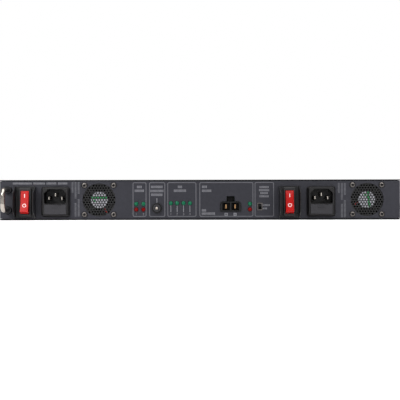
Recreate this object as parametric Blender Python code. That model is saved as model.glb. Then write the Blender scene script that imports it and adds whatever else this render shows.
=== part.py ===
"""One-unit rackmount redundant power unit, built from its separate pieces.

Frame: +Z up, the connector panel faces -Y, +X is to the right as one looks at that panel.
The origin is the centre of the chassis underside. All sizes are in millimetres and are
turned into metres where a mesh is made.
"""

import math

import bmesh
import bpy
from mathutils import Matrix, Vector

MM = 0.001
GAP = 0.3  # clearance between pieces that touch
OVERSHOOT = 1.0  # how far a cutting solid stands past the surface it cuts

# Chassis
CHASSIS_WIDTH = 440.0
CHASSIS_DEPTH = 250.0
CHASSIS_HEIGHT = 44.0
SHEET = 1.2
BEND_RADIUS = 1.2  # at the middle of the sheet
FLANGE = 12.0
BOTTOM_MARGIN = 0.01  # keeps the end reliefs off the tray's floor
PANEL_FACE = -CHASSIS_DEPTH / 2
PANEL_INSIDE = PANEL_FACE + SHEET
FAR_FACE = CHASSIS_DEPTH / 2
MID_HEIGHT = CHASSIS_HEIGHT / 2
PANEL_LOW = SHEET + GAP
PANEL_HIGH = CHASSIS_HEIGHT - SHEET - GAP
ON_PANEL = PANEL_FACE - GAP  # where a piece rests on the panel

# Rack ears
RACK_WIDTH = 482.6
EAR_SHEET = 2.0
EAR_LEG = 40.0
EAR_MARGIN = 0.5
RACK_HOLE_SPACING = 465.1
RACK_HOLE_RISE = 31.75
RACK_SLOT = (10.3, 6.8)

# Pull handle, at the panel's left end
HANDLE_X = -210.7
HANDLE_ROD = 6.0
HANDLE_PITCH = 22.0
HANDLE_REACH = 30.0
HANDLE_BEND = 7.0
HANDLE_Z = 22.0
FERRULE = (9.0, 2.2)

# Mains channels: rocker switch, inlet and fan, in the panel's X
SWITCH_X = (-191.5, 98.0)
INLET_X = (-158.2, 132.8)
FAN_X = (-110.8, 183.4)
SWITCH_Z = 19.5
INLET_Z = 20.0

# Rocker switch and its guard
BEZEL = (13.7, 31.9, 2.0)
BEZEL_EASING = 0.55
SWITCH_BODY = (11.0, 28.0, 20.0)
ROCKER_WIDTH = 9.0
ROCKER_HALF = 11.6
ROCKER_RISE = 4.6
ROCKER_DIP = 3.4
ROCKER_PIVOT_DEPTH = 1.0
ROCKER_TILT = 12.5
ROCKER_BACK_ANGLE = 35.0
CAVITY = (9.6, 25.6, 8.0)
GUARD_HALF_WIDTH = 10.9
GUARD_REACH = 15.0
GUARD_Z = (2.4, 36.9)
GUARD_TIP_Z = (9.0, 30.0)
GUARD_STEP = 3.0

# Mains inlet with fuse drawer
INLET_BASE = (31.8, 33.6)
INLET_FRONT = (27.3, 29.2)
INLET_BODY = (27.6, 29.6)
INLET_PROUD = 5.5
INLET_DEPTH = 24.0
INLET_CORNER = 3.0
RECESS_HALF_WIDTH = 12.2
RECESS_Z = (17.9, 33.8)
RECESS_CHAMFER = 4.5
RECESS_ROUND = 1.6
RECESS_DEPTH = 16.0
PIN = (2.0, 4.0)
PIN_PLACES = {"line": (-7.0, 24.0), "neutral": (7.0, 24.0), "earth": (0.0, 27.7)}
PIN_SETBACK = 2.8
PIN_LENGTH = 31.0
PIN_TAPER = 0.5
DRAWER = (24.0, 10.6, 16.8)
DRAWER_Z = 6.4
DRAWER_SLOT_DEPTH = 19.0
DRAWER_FLOOR = 2.0
TAB = (8.0, 2.6)
TAB_DROP = 2.2
TAB_PROUD = 0.6
FUSE_RADIUS = 2.6
FUSE_LENGTH = 20.0
FUSE_SETBACK = 9.3
FUSE_PLAY = 0.8
FUSE_CAP = 5.0
FUSE_TUBE_STEP = 0.25

# Fans
FAN_SIZE = 40.0
FAN_DEPTH = 20.0
FAN_BORE = 19.0
FAN_OPENING = 18.15
FAN_SCREW_PITCH = 32.0
GRILLE_SHEET = 0.6
GRILLE_SIZE = 39.4
GRILLE_PITCH = 5.0
GRILLE_HOLE = 1.9
STATOR_RADIUS = 9.5
STATOR_SHEET = 2.0
STATOR_ARM = 2.2
STATOR_ROOT = 1.5  # how far an arm reaches into the frame's wall
BEARING = (1.3, 5.0)
ROTOR_PLAY = 0.5
ROTOR_LENGTH = 13.8
ROTOR_STUB = (0.9, 1.2)
BLADES = 7
BLADE_TIP = 17.9
BLADE_STATIONS = ((8.0, 40, 11.0), (13.0, 47, 11.5), (BLADE_TIP, 54, 11.0))  # radius, pitch, chord
BLADE_HALF_THICKNESS = 0.45
SCREW_HEAD = (2.8, 1.6)
SCREW_SHANK = (1.45, 16.0)
SCREW_HOLE = 1.8

# Indicators, button, source switch
LED_RADIUS = 2.2
LED_HOLE = 2.5
LED_FLANGE = 1.0
LEDS = {
    "ac_1_green_led": (-70.0, 17.6), "ac_1_red_led": (-70.0, 11.4),
    "ac_2_green_led": (-62.1, 17.6), "ac_2_red_led": (-62.1, 11.4),
    "output_1_led": (-32.0, 18.3), "output_2_led": (-25.1, 18.3),
    "output_3_led": (-18.1, 18.3), "output_4_led": (-11.1, 18.3),
    "dc_in_green_led": (54.8, 17.5), "dc_in_red_led": (54.8, 11.4),
}
BUTTON = (-47.3, 12.9)
BUTTON_HOLE = 4.3
BUSHING_BORE = 2.0
BUSHING_BARREL = 4.0
BUSHING_NUT = 5.65
BUSHING_DEPTH = 10.0
PLUNGER_RADIUS = 1.65
PLUNGER_PROUD = 6.4
SOURCE = (65.7, 14.45)
SOURCE_FRAME = (8.0, 12.0, 8.0)
SOURCE_LIP = (5.2, 7.7)
SOURCE_SLOT = (3.6, 5.9)
SLIDER = (3.0, 2.6)

# Low-voltage connectors
DC_IN_X = 33.6
DC_BODY = (22.6, 10.6)
DC_BODY_Z = 9.3
DC_SHOULDER = 3.5
DC_PROUD = 1.2
SOCKET = (8.2, 8.3)
SOCKET_PITCH = 10.0
SOCKET_DEPTH = 12.0
CONTACT = (2.6, 5.2)
CONTACT_SETBACK = 4.8
LATCH = (9.0, 5.7)
LATCH_BAR_DEPTH = 8.0
OUTPUT_BLOCK = (104.0, 14.0)
OUTPUT_Z = 22.0
OUTPUT_PITCH = 25.0
OUTPUT_PORTS = 4
OUTPUT_CAVITY = (20.0, 9.0)
OUTPUT_DEPTH = 18.0

# Cooling slots at each side of the output block
COOLING_SLOT = (3.2, 26.0)
COOLING_SLOTS = 8
COOLING_FIRST = 90.0
COOLING_PITCH = 14.0

# Inside
BOARD = (-78.0, 84.0, 5.0, 39.0)
BOARD_FACE = -106.5
BOARD_SHEET = 1.6
BUZZER = (-47.3, 30.0)
BUZZER_SIZE = (6.0, 9.0)
MODULE_X = (-110.0, 110.0)
MODULE_SIZE = (180.0, 140.0, 30.0)
MODULE_LIFT = 2.5
GROOVE_PITCH = 15.0
GROOVE = (6.0, 8.0)
FOOT = 10.0

CIRCLE = 32
SMALL_CIRCLE = 12


# ---------------------------------------------------------------- materials

def principled(name, colour, roughness, metallic=0.0):
    """A Principled material with an sRGB hex colour."""
    material = bpy.data.materials.new(name)
    material.use_nodes = True
    shader = material.node_tree.nodes["Principled BSDF"]
    channels = [int(colour[i:i + 2], 16) / 255 for i in (1, 3, 5)]
    linear = [c / 12.92 if c <= 0.04045 else ((c + 0.055) / 1.055) ** 2.4 for c in channels]
    shader.inputs["Base Color"].default_value = (*linear, 1.0)
    shader.inputs["Roughness"].default_value = roughness
    shader.inputs["Metallic"].default_value = metallic
    return material


def charcoal_paint(name):
    """Powder coat on the folded sheet pieces."""
    return principled(name, "#47464d", 0.6)


def black_plastic(name):
    """Moulded black plastic."""
    return principled(name, "#2c2c2e", 0.5)


def grey_plastic(name):
    """Moulded grey plastic of the fuse drawers."""
    return principled(name, "#4a4a4e", 0.5)


def red_plastic(name):
    """Glossy red rocker plastic."""
    return principled(name, "#cc1410", 0.25)


def green_lens(name):
    """Tinted green lamp lens."""
    return principled(name, "#0f6b3f", 0.15)


def red_lens(name):
    """Tinted red lamp lens."""
    return principled(name, "#7a0606", 0.15)


def nickel(name):
    """Polished nickel plate."""
    return principled(name, "#c4beb8", 0.12, 1.0)


def zinc(name):
    """Zinc plate, also used for bare steel and aluminium."""
    return principled(name, "#a9abad", 0.35, 1.0)


def board_laminate(name):
    """Green circuit board."""
    return principled(name, "#1f4a30", 0.5)


def fuse_glass(name):
    """Clear fuse tube."""
    return principled(name, "#c9cdcc", 0.1)


# ---------------------------------------------------------------- outlines

def circle(x, z, radius, sides, turn=0.0):
    """Points around a circle."""
    angles = [math.tau * (i + turn) / sides for i in range(sides)]
    return [(x + radius * math.cos(a), z + radius * math.sin(a)) for a in angles]


def rectangle(x, z, width, height):
    """The four corners of a rectangle centred on x, z."""
    w = width / 2
    h = height / 2
    return [(x - w, z - h), (x + w, z - h), (x + w, z + h), (x - w, z + h)]


def arc(x, z, radius, start, end, steps):
    """Points along an arc, angles in degrees."""
    angles = [math.radians(start + (end - start) * i / steps) for i in range(steps + 1)]
    return [(x + radius * math.cos(a), z + radius * math.sin(a)) for a in angles]


def rounded_rectangle(x, z, width, height, radius, steps=4):
    """A rectangle with round corners, counter-clockwise."""
    w = width / 2 - radius
    h = height / 2 - radius
    points = arc(x + w, z - h, radius, -90, 0, steps)
    points += arc(x + w, z + h, radius, 0, 90, steps)
    points += arc(x - w, z + h, radius, 90, 180, steps)
    points += arc(x - w, z - h, radius, 180, 270, steps)
    return points


def slot(x, z, length, width, steps=6):
    """A slot with half-round ends, lying along the first axis."""
    half = (length - width) / 2
    points = arc(x + half, z, width / 2, -90, 90, steps)
    points += arc(x - half, z, width / 2, 90, 270, steps)
    return points


def rounded_path(corners, radius, steps):
    """A polyline whose inner corners are replaced by arcs of the given radius."""
    path = [Vector(corners[0])]
    for before, corner, after in zip(corners, corners[1:], corners[2:]):
        inward = (Vector(corner) - Vector(before)).normalized()
        outward = (Vector(after) - Vector(corner)).normalized()
        turn = inward.angle_signed(outward)
        reach = radius * math.tan(abs(turn) / 2)
        start = Vector(corner) - inward * reach
        side = -1 if turn > 0 else 1
        centre = start + Vector((-inward.y, inward.x)) * radius * side
        for i in range(steps + 1):
            swing = Matrix.Rotation(-turn * i / steps, 2)
            path.append(centre + swing @ (start - centre))
    path.append(Vector(corners[-1]))
    return path


def bent_strip(corners, thickness, radius=BEND_RADIUS, steps=3):
    """The outline of a bent sheet whose middle line follows the corners."""
    path = rounded_path(corners, radius, steps)
    left = []
    right = []
    for i, point in enumerate(path):
        before = (point - path[max(i - 1, 0)]).normalized()
        after = (path[min(i + 1, len(path) - 1)] - point).normalized()
        along = (before + after).normalized()
        mitre = 1 / max(math.cos(before.angle(after, 0.0) / 2), 0.5)
        offset = Vector((-along.y, along.x)) * thickness / 2 * mitre
        left.append(point + offset)
        right.append(point - offset)
    return [tuple(p) for p in left] + [tuple(p) for p in reversed(right)]


# ---------------------------------------------------------------- solids

def to_space(u, v, depth, axis):
    """Outline coordinates u, v at a depth along an axis, as x, y, z."""
    if axis == "X":
        return Vector((depth, u, v))
    if axis == "Y":
        return Vector((u, depth, v))
    return Vector((u, v, depth))


def loft(bm, sections, axis="Y"):
    """A closed solid through sections of equal point count: (outline, depth) pairs."""
    rings = []
    for outline, depth in sections:
        rings.append([bm.verts.new(to_space(u, v, depth, axis)) for u, v in outline])
    faces = [bm.faces.new(rings[0]), bm.faces.new(rings[-1])]
    for ring, following in zip(rings, rings[1:]):
        for i in range(len(ring)):
            j = (i + 1) % len(ring)
            faces.append(bm.faces.new((ring[i], ring[j], following[j], following[i])))
    bmesh.ops.recalc_face_normals(bm, faces=faces)


def prism(bm, outline, start, end, axis="Y"):
    """An outline extruded along an axis."""
    loft(bm, [(outline, start), (outline, end)], axis)


def block(bm, low, high):
    """A rectangular block between two corners."""
    outline = [(low[0], low[2]), (high[0], low[2]), (high[0], high[2]), (low[0], high[2])]
    prism(bm, outline, low[1], high[1])


def turned(bm, profile, u, v, sides, axis="Y"):
    """A turned solid on an axis through u, v. The profile lists (radius, depth) pairs."""
    rings = []
    for radius, depth in profile:
        if radius == 0:
            rings.append([bm.verts.new(to_space(u, v, depth, axis))])
        else:
            ring = circle(u, v, radius, sides)
            rings.append([bm.verts.new(to_space(a, b, depth, axis)) for a, b in ring])
    closed = profile[0][0] != 0
    pairs = list(zip(rings, rings[1:]))
    if closed:
        pairs.append((rings[-1], rings[0]))
    faces = []
    for ring, following in pairs:
        for i in range(sides):
            j = (i + 1) % sides
            corners = [ring[i % len(ring)], ring[j % len(ring)]]
            corners += [following[j % len(following)], following[i % len(following)]]
            unique = list(dict.fromkeys(corners))
            faces.append(bm.faces.new(unique))
    bmesh.ops.recalc_face_normals(bm, faces=faces)


def rod(bm, x, path, radius, sides):
    """A round rod along a path in the plane X = x, with flat ends."""
    rings = []
    for i, point in enumerate(path):
        ahead = path[min(i + 1, len(path) - 1)]
        behind = path[max(i - 1, 0)]
        along = (ahead - behind).normalized()
        side = Vector((0, -along.y, along.x))
        ring = []
        for a in range(sides):
            angle = math.tau * a / sides
            centre = Vector((x, point.x, point.y))
            offset = Vector((math.cos(angle), 0, 0)) + side * math.sin(angle)
            ring.append(bm.verts.new(centre + offset * radius))
        rings.append(ring)
    faces = [bm.faces.new(rings[0]), bm.faces.new(rings[-1])]
    for ring, following in zip(rings, rings[1:]):
        for i in range(sides):
            j = (i + 1) % sides
            faces.append(bm.faces.new((ring[i], ring[j], following[j], following[i])))
    bmesh.ops.recalc_face_normals(bm, faces=faces)


def finish(bm, name, material=None, pivot=(0.0, 0.0, 0.0), smooth=False):
    """Turn a bmesh in millimetres into an object in metres, with its origin at the pivot."""
    bmesh.ops.translate(bm, verts=bm.verts, vec=-Vector(pivot))
    bmesh.ops.scale(bm, verts=bm.verts, vec=(MM, MM, MM))
    mesh = bpy.data.meshes.new(name)
    bm.to_mesh(mesh)
    bm.free()
    if smooth:
        mesh.shade_smooth()
        mesh.set_sharp_from_angle(angle=math.radians(35))
    piece = bpy.data.objects.new(name, mesh)
    piece.location = Vector(pivot) * MM
    if material:
        mesh.materials.append(material)
    bpy.context.scene.collection.objects.link(piece)
    return piece


def shape_with(piece, bm, operation):
    """Cut a piece with a hidden solid, or join the solid to it."""
    tool = finish(bm, f"{piece.name}_{operation.lower()}_tool")
    tool.hide_render = True
    tool.display_type = "WIRE"
    change = piece.modifiers.new(operation.lower(), "BOOLEAN")
    change.operation = operation
    change.solver = "EXACT"
    change.object = tool


def cut(piece, bm):
    """Cut a solid out of a piece."""
    shape_with(piece, bm, "DIFFERENCE")


def join(piece, bm):
    """Weld a solid to a piece."""
    shape_with(piece, bm, "UNION")


# ---------------------------------------------------------------- chassis

def base_tray():
    """Bottom and side walls folded from one sheet; the side walls stop at the panels' flanges."""
    edge = (CHASSIS_WIDTH - SHEET) / 2
    bm = bmesh.new()
    path = [(edge, PANEL_HIGH), (edge, SHEET / 2), (-edge, SHEET / 2), (-edge, PANEL_HIGH)]
    prism(bm, bent_strip(path, SHEET), PANEL_FACE, FAR_FACE)
    tray = finish(bm, "base_tray", charcoal_paint("tray_paint"))
    wide = CHASSIS_WIDTH / 2 + OVERSHOOT
    relief = bmesh.new()
    for end in (-1, 1):
        depths = sorted((end * (FAR_FACE + OVERSHOOT), end * (FAR_FACE - FLANGE - GAP)))
        block(relief, (-wide, depths[0], SHEET + BOTTOM_MARGIN), (wide, depths[1], CHASSIS_HEIGHT))
    cut(tray, relief)


def panel_sheet(name, face, material):
    """An end panel with a flange folded back at each side; face is its outer Y."""
    inward = -1 if face > 0 else 1
    edge = (CHASSIS_WIDTH - SHEET) / 2
    back = face + inward * FLANGE
    middle = face + inward * SHEET / 2
    bm = bmesh.new()
    path = [(-edge, back), (-edge, middle), (edge, middle), (edge, back)]
    prism(bm, bent_strip(path, SHEET), PANEL_LOW, PANEL_HIGH, "Z")
    return finish(bm, name, material)


def dc_outline(clearance=0.0):
    """The DC input connector's outline: a block with round shoulders."""
    width, height = DC_BODY
    low = DC_BODY_Z - clearance
    top = DC_BODY_Z + height + clearance
    half = width / 2 + clearance
    points = [(DC_IN_X - half, low), (DC_IN_X + half, low)]
    points += arc(DC_IN_X + half - DC_SHOULDER, top - DC_SHOULDER, DC_SHOULDER, 0, 90, 4)
    points += arc(DC_IN_X - half + DC_SHOULDER, top - DC_SHOULDER, DC_SHOULDER, 90, 180, 4)
    return points


def dc_cutout():
    """The panel's hole for the DC input connector, with the latch window above it."""
    points = dc_outline(GAP)
    width, height = LATCH
    shoulder = DC_BODY_Z + DC_BODY[1] + GAP
    top = shoulder + height
    window = [(DC_IN_X + width / 2, shoulder), (DC_IN_X + width / 2, top)]
    window += [(DC_IN_X - width / 2, top), (DC_IN_X - width / 2, shoulder)]
    return points[:7] + window + points[7:]


def connector_panel():
    """The panel that carries the switches, inlets, fans, indicators and connectors."""
    panel = panel_sheet("connector_panel", PANEL_FACE, charcoal_paint("panel_paint"))
    outlines = [dc_cutout()]
    for x in SWITCH_X:
        outlines.append(rectangle(x, SWITCH_Z, SWITCH_BODY[0] + 2 * GAP, SWITCH_BODY[1] + 2 * GAP))
    for x in INLET_X:
        width, height = (side + 2 * GAP for side in INLET_BODY)
        outlines.append(rounded_rectangle(x, INLET_Z, width, height, INLET_CORNER, 3))
    for x in FAN_X:
        outlines.append(circle(x, MID_HEIGHT, FAN_OPENING, CIRCLE))
        outlines += [circle(u, v, SCREW_HOLE, SMALL_CIRCLE) for u, v in fan_corners(x)]
    for x, z in LEDS.values():
        outlines.append(circle(x, z, LED_HOLE, SMALL_CIRCLE))
    outlines.append(circle(*BUTTON, BUTTON_HOLE, CIRCLE // 2))
    outlines.append(rectangle(*SOURCE, SOURCE_LIP[0] + 2 * GAP, SOURCE_LIP[1] + 2 * GAP))
    holes = bmesh.new()
    for outline in outlines:
        prism(holes, outline, PANEL_FACE - OVERSHOOT, PANEL_INSIDE + OVERSHOOT)
    cut(panel, holes)


def far_panel():
    """The panel at the rack-ear end, with the output block's hole and cooling slots."""
    panel = panel_sheet("output_panel", FAR_FACE, charcoal_paint("output_panel_paint"))
    holes = bmesh.new()
    inside = FAR_FACE - SHEET - OVERSHOOT
    outside = FAR_FACE + OVERSHOOT
    width, height = (side + 2 * GAP for side in OUTPUT_BLOCK)
    prism(holes, rectangle(0, OUTPUT_Z, width, height), inside, outside)
    for side in (-1, 1):
        for i in range(COOLING_SLOTS):
            x = side * (COOLING_FIRST + COOLING_PITCH * i)
            prism(holes, rectangle(x, MID_HEIGHT, *COOLING_SLOT), inside, outside)
    cut(panel, holes)


def top_cover():
    """A flat lid with a hem strip welded under each side."""
    half_width = CHASSIS_WIDTH / 2
    bm = bmesh.new()
    top = CHASSIS_HEIGHT
    block(bm, (-half_width, PANEL_FACE, top - SHEET), (half_width, FAR_FACE, top))
    cover = finish(bm, "top_cover", charcoal_paint("cover_paint"))
    hems = bmesh.new()
    outer = half_width - SHEET - GAP
    reach = FAR_FACE - FLANGE
    for side in (-1, 1):
        x = sorted((side * outer, side * (outer - SHEET)))
        block(hems, (x[0], -reach, top - FLANGE), (x[1], reach, top - SHEET / 2))
    join(cover, hems)


def rack_ears():
    """An L bracket at each side of the output end, with two slots for rack screws."""
    inner = CHASSIS_WIDTH / 2 + GAP + EAR_SHEET / 2
    for name, side in (("rack_ear_left", -1), ("rack_ear_right", 1)):
        leg = (side * inner, FAR_FACE - EAR_LEG)
        corner = (side * inner, FAR_FACE - EAR_SHEET / 2)
        tip = (side * RACK_WIDTH / 2, FAR_FACE - EAR_SHEET / 2)
        bm = bmesh.new()
        outline = bent_strip([leg, corner, tip], EAR_SHEET, 2 * BEND_RADIUS)
        prism(bm, outline, EAR_MARGIN, CHASSIS_HEIGHT - EAR_MARGIN, "Z")
        ear = finish(bm, name, charcoal_paint(f"{name}_paint"))
        slots = bmesh.new()
        for rise in (-1, 1):
            z = MID_HEIGHT + rise * RACK_HOLE_RISE / 2
            outline = slot(side * RACK_HOLE_SPACING / 2, z, *RACK_SLOT)
            prism(slots, outline, FAR_FACE - EAR_SHEET - OVERSHOOT, FAR_FACE + OVERSHOOT)
        cut(ear, slots)


def pull_handle():
    """A bow handle of round rod, with a ferrule where each leg meets the panel."""
    low = HANDLE_Z - HANDLE_PITCH / 2
    high = HANDLE_Z + HANDLE_PITCH / 2
    front = ON_PANEL - HANDLE_REACH + HANDLE_ROD / 2
    corners = [(ON_PANEL, low), (front, low), (front, high), (ON_PANEL, high)]
    bm = bmesh.new()
    rod(bm, HANDLE_X, rounded_path(corners, HANDLE_BEND, 5), HANDLE_ROD / 2, 14)
    handle = finish(bm, "pull_handle", nickel("handle_nickel"), smooth=True)
    ferrules = bmesh.new()
    width, length = FERRULE
    for z in (low, high):
        prism(ferrules, circle(HANDLE_X, z, width / 2, 16), ON_PANEL - length, ON_PANEL)
    join(handle, ferrules)


# ---------------------------------------------------------------- switches

def switch_guard(number, x):
    """A U bracket behind the switch bezel, whose two fins stand beside the rocker."""
    sheet_middle = ON_PANEL - SHEET / 2
    tip = ON_PANEL - GUARD_REACH
    left = x - GUARD_HALF_WIDTH
    right = x + GUARD_HALF_WIDTH
    bm = bmesh.new()
    path = [(left, tip), (left, sheet_middle), (right, sheet_middle), (right, tip)]
    prism(bm, bent_strip(path, SHEET), *GUARD_Z, "Z")
    guard = finish(bm, f"switch_guard_{number}", charcoal_paint(f"guard_{number}_paint"))
    shaping = bmesh.new()
    shoulder = ON_PANEL - GUARD_STEP
    for base, end in zip(GUARD_Z, GUARD_TIP_Z):
        outward = 1 if base > MID_HEIGHT else -1
        over = base + outward * OVERSHOOT
        past = tip - OVERSHOOT
        corner = [(shoulder, base), (tip, end), (past, end), (past, over), (shoulder, over)]
        prism(shaping, corner, left - SHEET, right + SHEET, "X")
    opening = rectangle(x, SWITCH_Z, SWITCH_BODY[0] + 2 * GAP, SWITCH_BODY[1] + 2 * GAP)
    prism(shaping, opening, ON_PANEL - SHEET - OVERSHOOT, ON_PANEL + OVERSHOOT)
    cut(guard, shaping)


def bezel_face():
    """The Y of the switch bezel's front."""
    return ON_PANEL - SHEET - GAP - BEZEL[2]


def switch_housing(number, x):
    """The switch's black body: a bezel, a box behind it and the rocker's cavity."""
    face = bezel_face()
    back = face + BEZEL[2]
    bm = bmesh.new()
    width, height, _ = BEZEL
    easing = BEZEL_EASING
    soft = rounded_rectangle(x, SWITCH_Z, width - 2 * easing, height - 2 * easing, 1, 2)
    full = rounded_rectangle(x, SWITCH_Z, width, height, 1.4, 2)
    body = rounded_rectangle(x, SWITCH_Z, SWITCH_BODY[0], SWITCH_BODY[1], 0.5, 2)
    depth = back + SWITCH_BODY[2]
    sections = [(soft, face), (full, face + easing), (full, back), (body, back), (body, depth)]
    loft(bm, sections)
    housing = finish(bm, f"switch_housing_{number}", black_plastic(f"switch_{number}_plastic"))
    cavity = bmesh.new()
    width, height, reach = CAVITY
    prism(cavity, rectangle(x, SWITCH_Z, width, height), face - OVERSHOOT, face + reach)
    cut(housing, cavity)


def rocker(number, x):
    """A rocker tilted to its on position; its ends are arcs about the pivot."""
    pivot = (x, bezel_face() + ROCKER_PIVOT_DEPTH, SWITCH_Z)
    radius = math.hypot(ROCKER_HALF, ROCKER_RISE)
    first = math.degrees(math.atan2(ROCKER_HALF, ROCKER_RISE))
    last = first + ROCKER_BACK_ANGLE
    profile = arc(0, 0, radius, first, last, 4)
    profile += arc(0, 0, radius, -last, -first, 4)
    profile.append((ROCKER_DIP, 0))
    tilt = math.radians(ROCKER_TILT)
    outline = []
    for out, up in profile:
        tilted_out = out * math.cos(tilt) - up * math.sin(tilt)
        tilted_up = up * math.cos(tilt) + out * math.sin(tilt)
        outline.append((pivot[1] - tilted_out, pivot[2] + tilted_up))
    bm = bmesh.new()
    prism(bm, outline, x - ROCKER_WIDTH / 2, x + ROCKER_WIDTH / 2, "X")
    finish(bm, f"rocker_{number}", red_plastic(f"rocker_{number}_plastic"), pivot)


# ---------------------------------------------------------------- inlets

def recess_outline(x):
    """The connector recess: chamfered above, slightly round below."""
    left = x - RECESS_HALF_WIDTH
    right = x + RECESS_HALF_WIDTH
    low, high = RECESS_Z
    radius = RECESS_ROUND
    points = arc(right - radius, low + radius, radius, -90, 0, 2)
    points += [(right, high - RECESS_CHAMFER), (right - RECESS_CHAMFER, high)]
    points += [(left + RECESS_CHAMFER, high), (left, high - RECESS_CHAMFER)]
    points += arc(left + radius, low + radius, radius, 180, 270, 2)
    return points


def inlet_body(number, x):
    """The inlet's moulding: a sloped collar, a box behind the panel, recess and drawer slot."""
    front = ON_PANEL - INLET_PROUD
    bm = bmesh.new()
    nose = rounded_rectangle(x, INLET_Z, *INLET_FRONT, INLET_CORNER - 1, 3)
    collar = rounded_rectangle(x, INLET_Z, *INLET_BASE, INLET_CORNER, 3)
    body = rounded_rectangle(x, INLET_Z, *INLET_BODY, INLET_CORNER, 3)
    back = ON_PANEL + INLET_DEPTH
    loft(bm, [(nose, front), (collar, ON_PANEL), (body, ON_PANEL), (body, back)])
    inlet = finish(bm, f"inlet_body_{number}", black_plastic(f"inlet_{number}_plastic"))
    hollow = bmesh.new()
    floor = front + RECESS_DEPTH
    prism(hollow, recess_outline(x), front - OVERSHOOT, floor)
    width, height, _ = DRAWER
    slot_centre = DRAWER_Z + height / 2
    opening = rectangle(x, slot_centre, width + 2 * GAP, height + 2 * GAP)
    prism(hollow, opening, front - OVERSHOOT, front + DRAWER_SLOT_DEPTH)
    cut(inlet, hollow)
    holes = bmesh.new()
    for u, v in PIN_PLACES.values():
        opening = rectangle(x + u, v, PIN[0] + 2 * GAP, PIN[1] + 2 * GAP)
        prism(holes, opening, floor - OVERSHOOT, back + OVERSHOOT)
    cut(inlet, holes)


def inlet_pins(number, x):
    """Three flat blades, each with a narrowed tip."""
    tip = ON_PANEL - INLET_PROUD + PIN_SETBACK
    for role, (u, v) in PIN_PLACES.items():
        blade = rectangle(x + u, v, *PIN)
        point = rectangle(x + u, v, PIN[0] - 2 * PIN_TAPER, PIN[1] - 2 * PIN_TAPER)
        bm = bmesh.new()
        loft(bm, [(point, tip), (blade, tip + 2 * PIN_TAPER), (blade, tip + PIN_LENGTH)])
        finish(bm, f"{role}_pin_{number}", zinc(f"{role}_pin_{number}_plating"))


def fuse_drawer(number, x):
    """A drawer with a cradle across it for the fuse and a tab to pull it by."""
    width, height, length = DRAWER
    front = ON_PANEL - INLET_PROUD
    half = width / 2
    top = DRAWER_Z + height
    bm = bmesh.new()
    block(bm, (x - half, front, DRAWER_Z), (x + half, front + length, top))
    name = f"fuse_drawer_{number}"
    middle = DRAWER_Z + height / 2
    pivot = (x, front, middle)
    drawer = finish(bm, name, grey_plastic(f"{name}_plastic"), pivot)
    tab = bmesh.new()
    prism(tab, rectangle(x, top - TAB_DROP, *TAB), front - TAB_PROUD, front + OVERSHOOT)
    join(drawer, tab)
    cradle = bmesh.new()
    cavity_half = FUSE_LENGTH / 2 + FUSE_PLAY
    reach = FUSE_RADIUS + FUSE_PLAY
    centre = front + FUSE_SETBACK
    floor = DRAWER_Z + DRAWER_FLOOR
    near = (x - cavity_half, centre - reach, floor)
    block(cradle, near, (x + cavity_half, centre + reach, top + OVERSHOOT))
    cut(drawer, cradle)
    fuse = bmesh.new()
    ends = FUSE_LENGTH / 2
    cap = ends - FUSE_CAP
    thin = FUSE_RADIUS - FUSE_TUBE_STEP
    profile = [(0, -ends), (FUSE_RADIUS, -ends), (FUSE_RADIUS, -cap), (thin, -cap)]
    profile += [(thin, cap), (FUSE_RADIUS, cap), (FUSE_RADIUS, ends), (0, ends)]
    profile = [(radius, x + depth) for radius, depth in profile]
    turned(fuse, profile, centre, floor + GAP + FUSE_RADIUS, SMALL_CIRCLE, "X")
    finish(fuse, f"fuse_{number}", fuse_glass(f"fuse_{number}_glass"), pivot, smooth=True)


# ---------------------------------------------------------------- fans

def fan_corners(x):
    """The four screw places of a fan."""
    half = FAN_SCREW_PITCH / 2
    return [(x + i * half, MID_HEIGHT + j * half) for i in (-1, 1) for j in (-1, 1)]


def fan_grille(number, x):
    """A perforated sheet between the panel and the fan."""
    start = PANEL_INSIDE + GAP
    end = start + GRILLE_SHEET
    bm = bmesh.new()
    prism(bm, rectangle(x, MID_HEIGHT, GRILLE_SIZE, GRILLE_SIZE), start, end)
    grille = finish(bm, f"fan_grille_{number}", zinc(f"grille_{number}_steel"))
    holes = bmesh.new()
    rise = GRILLE_PITCH * math.sqrt(3) / 2
    reach = FAN_OPENING - GRILLE_HOLE
    for row in range(-4, 5):
        for column in range(-4, 5):
            u = (column + 0.5 * (row % 2)) * GRILLE_PITCH
            v = row * rise
            if math.hypot(u, v) < reach:
                outline = circle(x + u, MID_HEIGHT + v, GRILLE_HOLE, 6, 0.5)
                prism(holes, outline, start - OVERSHOOT, end + OVERSHOOT)
    for u, v in fan_corners(x):
        outline = circle(u, v, SCREW_HOLE, SMALL_CIRCLE)
        prism(holes, outline, start - OVERSHOOT, end + OVERSHOOT)
    cut(grille, holes)


def stator_outline(x):
    """The motor plate with four arms that reach into the frame's wall."""
    half_width = STATOR_ARM / 2
    reach = FAN_BORE + STATOR_ROOT
    spread = math.degrees(math.asin(half_width / STATOR_RADIUS))
    points = []
    for arm in range(4):
        angle = 45 + 90 * arm
        along = Vector((math.cos(math.radians(angle)), math.sin(math.radians(angle))))
        across = Vector((-along.y, along.x)) * half_width
        for side in (-1, 1):
            tip = along * reach + across * side
            points.append((x + tip.x, MID_HEIGHT + tip.y))
        points += arc(x, MID_HEIGHT, STATOR_RADIUS, angle + spread, angle + 90 - spread, 5)
    return points


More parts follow.
